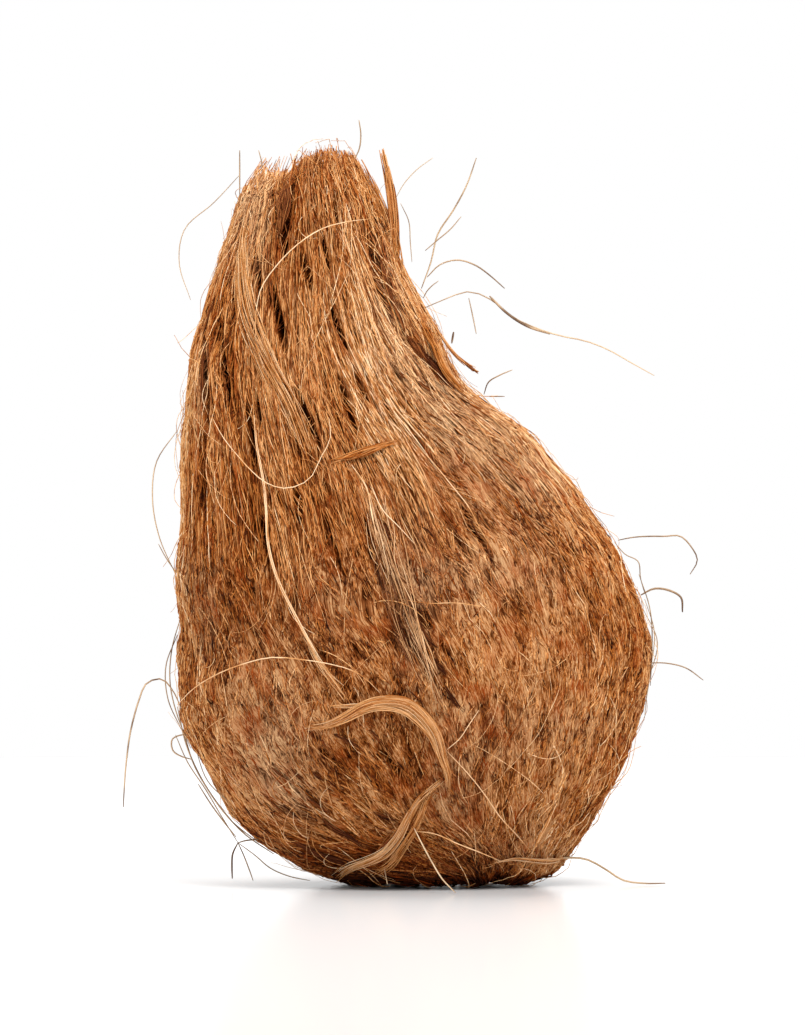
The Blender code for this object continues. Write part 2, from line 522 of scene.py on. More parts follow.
    def pits(self, s: Array, turn: Array) -> Array:
        """Gives how deep gaps and partings cut the mat, in metres."""
        tuft = self.tuft_share(s, turn)
        cut = np.zeros(s.shape)
        for comb in self.COMBS:
            off, opening = comb.read(s, turn)
            edges = (0.5 - side * comb.gap for side in self.GAP_SIDES)
            inside = smooth_step(*edges, np.abs(off))
            cut += comb.pit * comb.strength(tuft) * opening * inside
        for noise, nut, tufted in self.FLECKS:
            depth = nut + (tufted - nut) * tuft
            cut += depth * smooth_step(*self.FLECK_FADE, noise(s, self.along_grain(s, turn)))
        for gap in self.partings:
            across, share = gap.read(s, turn, self.girth(s))
            cut += gap.depth * share * bell(across / (self.CUT_REACH * gap.half_width))
        return cut

    def bare(self, s: Array, turn: Array) -> Array:
        """Gives points of the smooth form, shape (..., 3)."""
        height = np.interp(s, self.s_heights, self.heights)
        disc = np.clip(s / self.s_rim, 0.0, 1.0)
        middle = np.interp(height, self.heights, self.centre)
        wide = np.interp(height, self.heights, self.half_width) * disc
        deep = np.interp(height, self.heights, self.half_depth) * disc
        across, back = np.cos(TURN * turn), np.sin(TURN * turn)
        drop = self.left_lock_drop * smooth_step(*self.LEFT_FADE, -across)
        off = (across - self.DOME_MIDDLE) / self.DOME_REACH
        drop += self.cut_dome * np.minimum(off**2, 1.0)
        feet = self.side_feet * disc * (1.0 - smooth_step(0.0, self.FEET_TOP, height)) * back**2
        rise = self.underside_hollow * (1 - disc**2) + feet
        rise -= smooth_step(self.CUT_FROM, 1.0, height) * drop
        return np.stack(
            [middle + wide * across, deep * back, height * self.size.z + rise], axis=-1
        )

    def place(self, s: Array, turn: Array, lift: Array) -> tuple[Array, Array]:
        """Gives points over the form.

        Args:
            s: Places along the piece. Past 1 they stand above the cut.
            turn: Places round it.
            lift: Metres out from the mat's surface.

        Returns:
            The points and the outward directions, each of shape (..., 3).
        """
        along, around = self.SMALL_STEP
        on = np.clip(s, along, 1.0)
        up = unit(self.bare(np.minimum(on + along, 1.0), turn) - self.bare(on - along, turn))
        side = self.bare(on, turn + around) - self.bare(on, turn - around)
        outward = unit(np.cross(side, up))
        beyond = (np.maximum(s - 1.0, 0.0) * self.length)[..., None]
        out = (lift + self.relief(on, turn) - self.trimmed(on, turn))[..., None]
        return self.bare(on, turn) + outward * out + up * beyond, outward


@dataclass
class Sight:
    """The coconut as it shows from one side, which tells where a listed point lies.

    Listed points are x and z, in millimetres, on the upright plane through the origin.

    Attributes:
        form: The coconut's form.
        eye: Where one looks from, in front of the coconut or behind it.
    """

    form: CoconutForm
    eye: Array

    NET_UP = (0.02, 1.0, 420)  # first and last row of the net, along the piece, and their number
    NET_ROUND = (0.01, 0.49, 300)  # the same for its columns, in turns
    PARTING_POINTS = 12

    def __post_init__(self) -> None:
        """Notes where a fine net of points on the side that shows is seen."""
        s, turn = np.meshgrid(np.linspace(*self.NET_UP), np.linspace(*self.NET_ROUND))
        if self.eye[1] < 0.0:
            turn = turn + 0.5
        self.net = np.stack([s.ravel(), turn.ravel()], axis=1)
        points = self.form.bare(*self.net.T)
        scale = (self.eye[1] / (self.eye[1] - points[:, 1]))[:, None]
        shown = self.eye + (points - self.eye) * scale
        self.tree = KDTree(len(shown))
        for number, (x, _, z) in enumerate(shown):
            self.tree.insert((x, 0.0, z), number)
        self.tree.balance()

    def find(self, points: Array) -> tuple[Array, Array]:
        """Finds the places s and turn of points that lie on the side that shows."""
        found = [self.tree.find((x * MM, 0.0, z * MM))[1] for x, z in points]
        return self.net[found, 0], self.net[found, 1]

    def at_depth(self, points: Array, depth: Array) -> Array:
        """Gives 3-D points that show at the given points and have the given y, in mm."""
        flat = np.stack([points[:, 0], np.zeros(len(points)), points[:, 1]], axis=1) * MM
        scale = 1.0 - depth * MM / self.eye[1]
        return self.eye + (flat - self.eye) * scale[:, None]

    def parting(self, points: Points, half_width: float, depth: float) -> Parting:
        """Makes a parting from listed points, from its top down.

        Args:
            points: Its line.
            half_width: In millimetres.
            depth: In millimetres.

        Returns:
            The parting.
        """
        s, turn = self.find(smooth_curve(np.array(points, float), self.PARTING_POINTS))
        order = np.argsort(s)
        return Parting(s[order], turn[order], half_width * MM, depth * MM)


# ---- Meshes ----


def mesh_object(
    name: str,
    points: Array,
    faces: list[Array],
    material: Material,
    uv: list[Array],
    values: dict[str, Array],
) -> Object:
    """Makes a smooth-shaded mesh object from arrays.

    Args:
        name: The object's name.
        points: Its vertices, shape (V, 3).
        faces: Arrays of vertex numbers, a row for each face.
        material: Its finish.
        uv: The bake map, a row for each corner of each face.
        values: Named numbers or vectors for each vertex.

    Returns:
        The new object, linked to the scene.
    """
    loops = np.concatenate([face.ravel() for face in faces])
    sizes = np.concatenate([np.full(len(face), face.shape[1]) for face in faces])
    mesh = bpy.data.meshes.new(name)
    mesh.vertices.add(len(points))
    mesh.vertices.foreach_set("co", points.astype(np.float32).ravel())
    mesh.loops.add(len(loops))
    mesh.loops.foreach_set("vertex_index", loops.astype(np.int32))
    mesh.polygons.add(len(sizes))
    starts = np.append(0, np.cumsum(sizes)[:-1])
    mesh.polygons.foreach_set("loop_start", starts.astype(np.int32))
    mesh.update(calc_edges=True)
    corners = np.concatenate(uv).astype(np.float32)
    mesh.uv_layers.new(name=BAKE_MAP).uv.foreach_set("vector", corners.ravel())
    for label, numbers in values.items():
        kind, slot = ("FLOAT", "value") if numbers.ndim == 1 else ("FLOAT_VECTOR", "vector")
        made = mesh.attributes.new(label, kind, "POINT")
        made.data.foreach_set(slot, numbers.astype(np.float32).ravel())
    mesh.shade_smooth()
    mesh.materials.append(material)
    made_object = bpy.data.objects.new(name, mesh)
    bpy.context.scene.collection.objects.link(made_object)
    return made_object


@dataclass
class Strands:
    """Gathers tapered, closed, three-sided tubes and makes them one piece."""

    batches: list[tuple[Array, ...]] = field(default_factory=list)

    SIDES = 3
    # A strand's strip of the bake map: how much wider than tall, then in shares of the strip
    # its left and low edges, its width and height, and where its tips go and how wide they are
    STRIP_SHAPE = 3.0
    STRIP_LEFT, STRIP_LOW, STRIP_WIDE, STRIP_TALL = 0.08, 0.12, 0.84, 0.76
    TIPS_AT, TIP_WIDE = (0.0, 0.8), 0.04

    def add(
        self,
        path: Array,
        outward: Array,
        radius: Array,
        looks: tuple[Array, Array, Array],
        flow: Array | None = None,
    ) -> None:
        """Adds strands with the same number of points.

        Args:
            path: Their middle lines, shape (N, K, 3).
            outward: Directions away from the coconut, shape (N, K, 3).
            radius: Their thickness, shape (N, K), in metres.
            looks: How pale, grey and rusty they are, from 0 to 1, of shape (N,) or (N, K) each.
            flow: Where they lie along the grain, shape (N, K, 3), or None for where they are.
        """
        along = unit(np.gradient(path, axis=1))
        side = unit(np.cross(along, outward))
        front = np.cross(side, along)
        angles = TURN * (np.arange(self.SIDES) / self.SIDES + 0.25)
        across = side[:, :, None] * np.cos(angles)[:, None]
        across = across + front[:, :, None] * np.sin(angles)[:, None]
        rings = path[:, :, None] + across * radius[:, :, None, None]
        rings[..., 2] = np.maximum(rings[..., 2], 0.0)
        looks = (look if look.ndim == 2 else look[:, None] for look in looks)
        spread = (np.broadcast_to(look, radius.shape) for look in looks)
        self.batches.append((rings, path if flow is None else flow, *spread))

    def build(self, name: str, material: Material) -> Object:
        """Makes the mesh piece, with each strand on its own strip of the bake map.

        Args:
            name: The piece's name.
            material: Its finish.

        Returns:
            The new object.
        """
        total = sum(len(batch[0]) for batch in self.batches)
        columns = math.ceil(math.sqrt(total / self.STRIP_SHAPE))
        wide, tall = 1.0 / columns, 1.0 / math.ceil(total / columns)
        corner = np.arange(self.SIDES)
        after = (corner + 1) % self.SIDES
        points, faces, uv = [], [], []
        looks = {"flow": [], "tone": [], "grey": [], "rust": []}
        base = strand = 0
        for rings, *batch_looks in self.batches:
            count, steps = rings.shape[:2]
            points.append(rings.reshape(-1, 3))
            for values, look in zip(looks.values(), batch_looks):
                values.append(np.repeat(look.reshape(count * steps, -1), self.SIDES, axis=0))
            first = base + np.arange(count)[:, None, None] * steps * self.SIDES
            ring = first + np.arange(steps - 1)[:, None] * self.SIDES
            ahead = ring + self.SIDES
            quads = [ring + corner, ahead + corner, ahead + after, ring + after]
            ends = [first[:, 0] + corner, ahead[:, -1] + corner[::-1]]
            faces += [np.stack(quads, axis=-1).reshape(-1, 4), *ends]
            number = strand + np.arange(count)
            left = ((number % columns + self.STRIP_LEFT) * wide)[:, None, None]
            low = ((number // columns + self.STRIP_LOW) * tall)[:, None, None]
            run, rise = self.STRIP_WIDE * wide, self.STRIP_TALL * tall
            u = left + run * np.arange(steps - 1)[:, None] / (steps - 1) + 0 * corner
            v = low + rise * corner / self.SIDES + 0 * u
            far, top = u + run / (steps - 1), v + rise / self.SIDES
            strip = [np.stack(at, axis=-1) for at in ((u, v), (far, v), (far, top), (u, top))]
            uv.append(np.stack(strip, axis=-2).reshape(-1, 2))
            for tip in self.TIPS_AT:
                cap = (left[:, 0] + tip * wide + self.TIP_WIDE * wide * (corner % 2), v[:, 0])
                uv.append(np.stack(np.broadcast_arrays(*cap), axis=-1).reshape(-1, 2))
            base += count * steps * self.SIDES
            strand += count
        values = {label: np.concatenate(parts).squeeze() for label, parts in looks.items()}
        return mesh_object(name, np.concatenate(points), faces, material, uv, values)


# ---- Finishes ----


@dataclass(frozen=True)
class CoirFibre:
    """Coir, the dry bast fibre of the husk, retted and combed by hand and never dyed.

    The fibre is a waxy brown cellulose with no polish, so each strand shows a soft, broad
    highlight. Its colour runs from bark brown, which the painted shade in the gaps reaches, to straw
    where it dried in the sun.
    Some strands have weathered grey, and some are rusty with the husk's tannin.
    """

    name: str = "coir_fibre"
    stops: Points = (
        (0.0, "#1e0700"),
        (0.28, "#743404"),
        (0.52, "#ae692c"),
        (0.76, "#d49b60"),
        (1.0, "#f0d1a9"),
    )
    grey: str = "#9c8264"
    rust: str = "#8f3d0c"
    roughness: float = 0.66
    ior: float = 1.5  # cellulose is about 1.53
    shine: float = 0.08  # the fibre is porous, so it shines less than smooth cellulose
    pith_mm: float = 0.75  # flecks of brown pith that stick to the strands
    pith_run: float = 3.0  # how many times longer than wide a fleck is
    pith_range: Pair = (0.47, 0.64)  # noise at which a fleck starts, and is full
    pith_tone: Pair = (0.05, -0.32)  # how much paler a strand is off and on it
    cells_mm: float = 0.35  # bast cells are 0.02 mm, too fine to show, so they are drawn coarse
    relief_mm: float = 0.08  # height of the relief that they make
    relief_strength: float = 0.8
    patchy: float = 0.65  # how much the finer parts of each noise show

    def start(self) -> NodeTree:
        """Makes the material's empty node tree."""
        made = bpy.data.materials.new(self.name)
        made.use_nodes = True
        made.node_tree.nodes.clear()
        return made.node_tree

    def read(self, tree: NodeTree, label: str) -> NodeSocket:
        """Reads one of the values that each vertex carries."""
        return add_node(tree, "Attribute", {"attribute_name": label}).outputs["Fac"]

    def along(self, tree: NodeTree, run: float) -> NodeSocket:
        """Gives places on the drum of the grain, squeezed so that patterns run along it."""
        flow = add_node(tree, "Attribute", {"attribute_name": "flow"}).outputs["Vector"]
        squeeze = {"Scale": (1.0, 1.0, 1.0 / run)}
        return add_node(tree, "Mapping", None, squeeze, {"Vector": flow}).outputs["Vector"]

    def noise(self, tree: NodeTree, size_mm: float, where: NodeSocket, detail: float) -> NodeSocket:
        """Adds noise with patches of the given size, and gives its value's socket."""
        values = {"Scale": 1 / (size_mm * MM), "Detail": detail, "Roughness": self.patchy}
        return add_node(tree, "TexNoise", None, values, {"Vector": where}).outputs["Fac"]

    def spread(
        self, tree: NodeTree, value: NodeSocket,
        before: Pair, after: Pair,
    ) -> NodeSocket:
        """Stretches one range of values to another, and gives the result's socket."""
        ends = {"From Min": before[0], "From Max": before[1], "To Min": after[0], "To Max": after[1]}
        return add_node(tree, "MapRange", values=ends, links={"Value": value}).outputs["Result"]

    def finish(self, tree: NodeTree, tone: NodeSocket, relief: NodeSocket) -> Material:
        """Colours the surface by its tone and closes the shader.

        Args:
            tree: The node tree.
            tone: How pale the surface is.
            relief: The height of its fine relief, 0 to 1.

        Returns:
            The finished material.
        """
        ramp = add_node(tree, "ValToRGB", links={"Fac": tone})
        bands = ramp.color_ramp.elements
        while len(bands) < len(self.stops):
            bands.new(0.5)
        for band, (place, colour) in zip(bands, self.stops):
            band.position = place
            band.color = linear(colour)
        colour = ramp.outputs["Color"]
        for label, tint, blend in (("grey", self.grey, "COLOR"), ("rust", self.rust, "MIX")):
            settings = {"data_type": "RGBA", "blend_type": blend}
            links = {0: self.read(tree, label), 6: colour}
            colour = add_node(tree, "Mix", settings, {7: linear(tint)}, links).outputs[2]
        values = {"Strength": self.relief_strength, "Distance": self.relief_mm * MM}
        bump = add_node(tree, "Bump", values=values, links={"Height": relief})
        values = {"Roughness": self.roughness, "IOR": self.ior, "Specular IOR Level": self.shine}
        links = {"Base Color": colour, "Normal": bump.outputs["Normal"]}
        shader = add_node(tree, "BsdfPrincipled", values=values, links=links)
        add_node(tree, "OutputMaterial", links={"Surface": shader.outputs["BSDF"]})
        return bpy.data.materials[self.name]

    def material(self) -> Material:
        """Builds the fibre's shader and returns the material."""
        tree = self.start()
        where = add_node(tree, "TexCoord").outputs["Object"]
        pith = self.noise(tree, self.pith_mm, self.along(tree, self.pith_run), 2.0)
        flecks = self.spread(tree, pith, self.pith_range, self.pith_tone)
        links = {0: self.read(tree, "tone"), 1: flecks}
        tone = add_node(tree, "Math", {"operation": "ADD"}, links=links).outputs[0]
        return self.finish(tree, tone, self.noise(tree, self.cells_mm, where, 1.0))


@dataclass(frozen=True)
class BleachedCoir(CoirFibre):
    """Single coir fibres that stood free of the husk, bleached by sun and weather.

    The tannin has gone out of them, so they show straw and grey and hardly any orange.
    """

    name: str = "bleached_coir_fibre"
    grey: str = "#95876f"


@dataclass(frozen=True)
class CoirMat(CoirFibre):
    """The matted coir under the loose strands: short fibre felted with brown pith dust.

    It was pressed flat when the husk was torn off, so its grain runs with the strands. It is
    dark and quite matt, because light is lost between its fibres.
    """

    name: str = "coir_mat"
    stops: Points = (
        (0.38, "#1c0700"),
        (0.6, "#5a2a0c"),
        (0.8, "#895229"),
        (0.98, "#ae8056"),
    )
    roughness: float = 0.9
    shine: float = 0.0
    strand_mm: float = 0.36  # thickness of the matted strands
    strand_run: float = 6.0  # how many times longer than thick a strand shows
    strand_range: Pair = (0.3, 0.7)  # noise at the bottom and the top of a strand
    strand_tone: Pair = (0.18, 0.82)  # how pale it is there: painted shade at a strand's bottom and painted light on its top
    pith_share: float = 0.7  # how strongly the pith's flecks show
    relief_mm: float = 0.5  # height of the strands

    def material(self) -> Material:
        """Builds the mat's shader and returns the material."""
        tree = self.start()
        strands = self.noise(tree, self.strand_mm, self.along(tree, self.strand_run), 3.0)
        pith = self.noise(tree, self.pith_mm, self.along(tree, self.pith_run), 2.0)
        links = {0: pith, 2: self.read(tree, "tone")}
        share = {1: self.pith_share}
        tone = add_node(tree, "Math", {"operation": "MULTIPLY_ADD"}, share, links).outputs[0]
        # painted shade and light that follow the drawn strands' relief
        links = {0: self.spread(tree, strands, self.strand_range, self.strand_tone), 1: tone}
        tone = add_node(tree, "Math", {"operation": "ADD"}, links=links).outputs[0]
        return self.finish(tree, tone, strands)


@dataclass(frozen=True)
class SatinCard:
    """White card with a satin coat, pressed smooth between rollers.

    It looks plain and pale, and softly mirrors the lowest few millimetres of what stands on it.
    """

    name: str = "satin_card_floor"
    colour: str = "#fbfbfb"
    roughness: float = 0.14

    def material(self) -> Material:
        """Builds the card's shader and returns the material."""
        made = bpy.data.materials.new(self.name)
        made.use_nodes = True
        shader = made.node_tree.nodes["Principled BSDF"]
        shader.inputs["Base Color"].default_value = linear(self.colour)
        shader.inputs["Roughness"].default_value = self.roughness
        return made


# ---- Sub-assemblies ----


@dataclass
class FeltedCore:
    """The felted mat of coir that wraps the nut and fills the tuft, below the loose strands.

    Attributes:
        form: The coconut's form.
        colour: How the coir's colour varies.
        material: The mat's finish.
        around: Points round the piece.
        rows: Rows from the flat spot to the top.
        sunk_nut: How far the mat lies under the outline on the nut.
        sunk_tuft: How far it lies under the outline on the tuft.
        top: Where the mat ends inside the tuft.
        pit_shade: How much darker a pit is painted for each millimetre of its depth, as painted shade.
        rust_share: How rusty the mat is beside the strands on it.
    """

    form: CoconutForm
    colour: CoirColour
    material: Material
    around: int = 480
    rows: int = 188
    sunk_nut: float = 0.25 * MM
    sunk_tuft: float = 0.5 * MM
    top: float = 0.97
    pit_shade: float = 0.2
    rust_share: float = 0.3

    # Rings that close the top: share of the way out, and depth in mm. Then the middle's depth.
    TOP_RINGS = ((0.85, 0.4), (0.6, 1.4), (0.3, 2.2))
    TOP_MIDDLE = 2.4

    def build(self) -> Object:
        """Makes the mat as one closed mesh and returns it."""
        form, up = self.form, np.linspace(0.0, self.top, self.rows + 1)[1:]
        s, turn = np.meshgrid(up, np.arange(self.around) / self.around, indexing="ij")
        pits = form.pits(s, turn)
        sunk = self.sunk_nut + (self.sunk_tuft - self.sunk_nut) * form.tuft_share(s, turn)
        points, _ = form.place(s, turn, -sunk - pits)
        points[..., 2] = np.maximum(points[..., 2], FLOOR_GAP)
        middle = points[-1].mean(axis=0)
        caps = [
            middle + (points[-1] - middle) * share - (0.0, 0.0, sink * MM)
            for share, sink in self.TOP_RINGS
        ]
        rings = np.concatenate([points, caps])
        bottom = form.place(np.zeros(1), np.zeros(1), np.full(1, -self.sunk_nut))[0]
        ends = (bottom, rings.reshape(-1, 3), middle[None] - (0.0, 0.0, self.TOP_MIDDLE * MM))
        faces, uv = self.skin(len(rings))
        values = self.looks(s, turn, points, pits)
        return mesh_object("coir_mat", np.concatenate(ends), faces, self.material, uv, values)

    def skin(self, rows: int) -> tuple[list[Array], list[Array]]:
        """Gives the mat's faces and its bake map, for the given number of rings."""
        n = self.around
        j = np.arange(n)
        after = (j + 1) % n
        ring = np.arange(rows - 1)[:, None] * n + 1
        quads = np.stack([ring + j, ring + after, ring + n + after, ring + n + j], axis=-1)
        last = 1 + (rows - 1) * n
        faces = [
            quads.reshape(-1, 4),
            np.stack([0 * j, 1 + after, 1 + j], axis=-1),
            np.stack([last + j, last + after, 0 * j + last + n], axis=-1),
        ]
        uv = [self.patch(np.arange(rows - 1)[:, None] + 0.5, rows), self.patch(-0.5, rows)[:, ::-1]]
        uv.append(self.patch(rows - 0.5, rows))
        return faces, [uv[0].reshape(-1, 2), *(part[:, :3].reshape(-1, 2) for part in uv[1:])]

    def looks(self, s: Array, turn: Array, points: Array, pits: Array) -> dict[str, Array]:
        """Gives the values that each vertex carries. Those of the top repeat the last ring's."""
        tone, grey, rust = self.colour.read(s, turn, points)
        # painted shade: darker in the pits and near the foot
        tone -= self.pit_shade * pits / MM + self.colour.foot_shade(s)
        closing = len(self.TOP_RINGS)
        tone, grey, rust = (
            np.pad(part.ravel(), (1, self.around * closing + 1), "edge")
            for part in (tone, grey, self.rust_share * rust)
        )
        flow = self.form.flow(s, turn)
        flow = np.concatenate([flow, *[flow[-1:]] * closing])
        flow = np.vstack([flow[0, 0], flow.reshape(-1, 3), flow[-1, 0]])
        return {"tone": tone, "grey": grey, "rust": rust, "flow": flow}

    def patch(self, row: Array | float, rows: int) -> Array:
        """Lays quads that start at the given rows on the bake map."""
        u, v = np.broadcast_arrays(np.arange(self.around) / self.around, (row + 0.5) / (rows + 1))
        far, top = u + 1 / self.around, v + 1 / (rows + 1)
        corners = [np.stack(at, axis=-1) for at in ((u, v), (far, v), (far, top), (u, top))]
        return np.stack(corners, axis=-2)


@dataclass(frozen=True)
class WeatherAndShadePatch:
    """A patch on the front where the coir's colour shifts: some patches are weathering, some are painted
    shade and some painted light.

    Attributes:
        middle: Its middle, x and z in millimetres.
        reach: How far it reaches across and up, in millimetres.
        tone: How much paler it is.
        grey: How much greyer.
        rust: How much rustier.
    """

    middle: Pair
    reach: Pair
    tone: float
    grey: float = 0.0
    rust: float = 0.0

    FRONT = (-5 * MM, 10 * MM)  # metres in front of the middle between which patches fade in

    def share(self, at: Array) -> Array:
        """Gives how strongly the patch acts on 3-D points, 0 to 1."""
        across = (at[..., 0] / MM - self.middle[0]) / self.reach[0]
        up = (at[..., 2] / MM - self.middle[1]) / self.reach[1]
        return bell(across, up) * smooth_step(*self.FRONT, -at[..., 1])


FRONT_WEATHER_AND_SHADE = (
    WeatherAndShadePatch((-44, 178), (7, 16), 0.14, 0.45),  # the tips of the left bunch
    WeatherAndShadePatch((-22, 190), (10, 9), -0.09, 0.0, 0.3),  # the cut of the main bunch
    WeatherAndShadePatch((-34, 178), (4, 11), -0.24),  # painted shade between the two bunches
    WeatherAndShadePatch((-7, 158), (4, 14), -0.1, 0.5),  # the stained strands on the tuft's right
    WeatherAndShadePatch((-8, 139), (9, 22), 0.25),  # the pale band down the tuft's right
    WeatherAndShadePatch((-51, 112), (8, 40), -0.15),  # painted shade down the left side
    WeatherAndShadePatch((-61.5, 104), (5, 32), 0.14),  # and painted light on the rim outside it
    WeatherAndShadePatch((-51.5, 151), (6, 11), -0.22),  # painted shade on the tuft's left flank
    WeatherAndShadePatch((-45, 171), (5, 8), -0.07),
    WeatherAndShadePatch((-9, 170), (4, 7), -0.14),  # painted shadow under the splinter
    WeatherAndShadePatch((-48, 61), (17, 15), -0.09, 0.1),  # the nut's left side
    WeatherAndShadePatch((-22, 76), (11, 14), -0.06, 0.15),
    WeatherAndShadePatch((54, 62), (22, 42), -0.065),  # painted shade on the nut's right side
    WeatherAndShadePatch((10, 124), (9, 12), 0.13, 0.5),  # the shoulder: greyer where it dried, and paler as painted light
    WeatherAndShadePatch((26, 107), (14, 15), -0.05, 0.35),
    WeatherAndShadePatch((24, 121), (6, 5), 0.26, 0.1),  # painted light on the rim down the shoulder
    WeatherAndShadePatch((32, 113), (6, 5), 0.2, 0.1),
    WeatherAndShadePatch((39, 105), (5, 5), 0.15),
    WeatherAndShadePatch((-37, 38), (11, 16), 0.17, 0.38),  # the lower left, dried pale
    WeatherAndShadePatch((43, 36), (10, 16), 0.1),  # and the lower right
    WeatherAndShadePatch((54, 31), (4, 8), -0.1),  # painted shade at the foot, right and left
    WeatherAndShadePatch((46.5, 18), (4, 7), -0.22),
    WeatherAndShadePatch((-55.5, 44), (3, 8), -0.12),
    WeatherAndShadePatch((-38, 17), (5, 5), -0.12),
    WeatherAndShadePatch((36, 7), (12, 7), 0.3),  # pale strands that reach the floor
    WeatherAndShadePatch((18, 67), (12, 14), -0.04),  # right of the crease
    WeatherAndShadePatch((36, 78), (20, 24), -0.03, 0.05),
    WeatherAndShadePatch((0, 74), (6, 22), -0.03, 0.3),  # the crease
    WeatherAndShadePatch((-24, 31), (14, 10), -0.1),  # painted shadow under the arching wisp
    WeatherAndShadePatch((-14, 9), (34, 9), -0.16),  # painted shade at the foot
)


@dataclass
class CoirColour:
    """How the coir's colour varies over the coconut: in clumps, streaks, weathered patches and patches of
    painted shade and light.

    Attributes:
        form: The coconut's form.
        patches: Patches on the front, of weathering and of painted shade and light.
    """

    form: CoconutForm
    patches: tuple[WeatherAndShadePatch, ...] = FRONT_WEATHER_AND_SHADE

    # What makes it paler: clumps on the nut, streaks on the tuft, broad patches, and height, which paints
    # light on raised coir and shade in low places
    CLUMPS = ((0.14, Noise(36, 230, 40)), (0.09, Noise(35, 80, 26)))
    STREAKS = ((0.13, Noise(33, 80, 9)), (0.08, Noise(37, 200, 16)))
    BROAD = ((0.06, Noise(31, 16, 14)),)
    RAISED, MOST_RAISED = 0.05, 1.5  # for each mm off the smooth outline, and how many count
    MOST_GREY, GREYED, GREY_FADE = 0.25, Noise(32, 14, 12), (0.3, 0.95)
    RUSTED, RUST_FADE = Noise(34, 90, 80), (0.1, 0.8)
    # Painted shade of the foot and of the underside, where the floor shadows them: darkness, and the places
    # that it fades between
    FOOT_SHADE = ((0.22, 0.11, 0.22), (0.62, 0.108, 0.135))

    def read(self, s: Array, turn: Array, at: Array) -> tuple[Array, Array, Array]:
        """Reads the colour.

        Args:
            s: Places along the piece.
            turn: Places round it.
            at: The same places in space.

        Returns:
            How much paler, greyer and rustier the coir is there.
        """
        tuft = self.form.tuft_share(s, turn)
        along = self.form.along_grain(s, turn)
        clump, streak = added(self.CLUMPS, s, along), added(self.STREAKS, s, turn)
        tone = clump + (streak - clump) * tuft + added(self.BROAD, s, turn)
        # painted light on raised coir and painted shade in low places
        relief = self.form.relief(s, turn) / MM
        tone += self.RAISED * np.clip(relief, -self.MOST_RAISED, self.MOST_RAISED)
        grey = self.MOST_GREY * smooth_step(*self.GREY_FADE, self.GREYED(s, turn))
        rust = smooth_step(*self.RUST_FADE, self.RUSTED(s, turn))
        for patch in self.patches:
            share = patch.share(at)
            tone += patch.tone * share
            grey += patch.grey * share
            rust += patch.rust * share
        return tone, grey, rust

    def foot_shade(self, s: Array) -> Array:
        """Gives how much darker the coir is painted near the flat spot: painted shade of the foot and the
        underside.
        """
        return sum(dark * (1.0 - smooth_step(low, high, s)) for dark, low, high in self.FOOT_SHADE)


@dataclass(frozen=True)
class StrandCut:
    """How one kind of strand is cut and laid. Lengths are in millimetres.

    Attributes:
        count: How many strands.
        steps: Points of each.
        tuft: Whether they belong to the tuft or to the nut.
        reach: Shortest and longest length.
        radius: Thinnest and thickest.
        stray: Spread of directions off the grain, in radians.
        wave: Sideways waviness, in radians.
        lift: Lowest and highest lift of the strand's middle.
        tuck: How far its ends go in.
        tone: Middle paleness and its spread.
        rust: Most rustiness.
    """

    count: int
    steps: int
    tuft: bool
    reach: Pair
    radius: Pair
    stray: float
    wave: float
    lift: Pair
    tuck: float
    tone: Pair
    rust: float = 0.45


@dataclass(frozen=True)
class Lean:
    """A place where the grain leans to the left of straight up.

    Attributes:
        most: How far it leans, in radians.
        turn: The place's middle, round the piece.
        across: Its reach round the piece.
        s: Its middle, along the piece.
        along: Its reach along the piece.
    """

    most: float
    turn: float
    across: float
    s: float = 0.5
    along: float = math.inf

    def at(self, s: Array, turn: Array) -> Array:
        """Gives how far the grain leans at the given places, in radians."""
        return self.most * bell((turn - self.turn) / self.across, (s - self.s) / self.along)


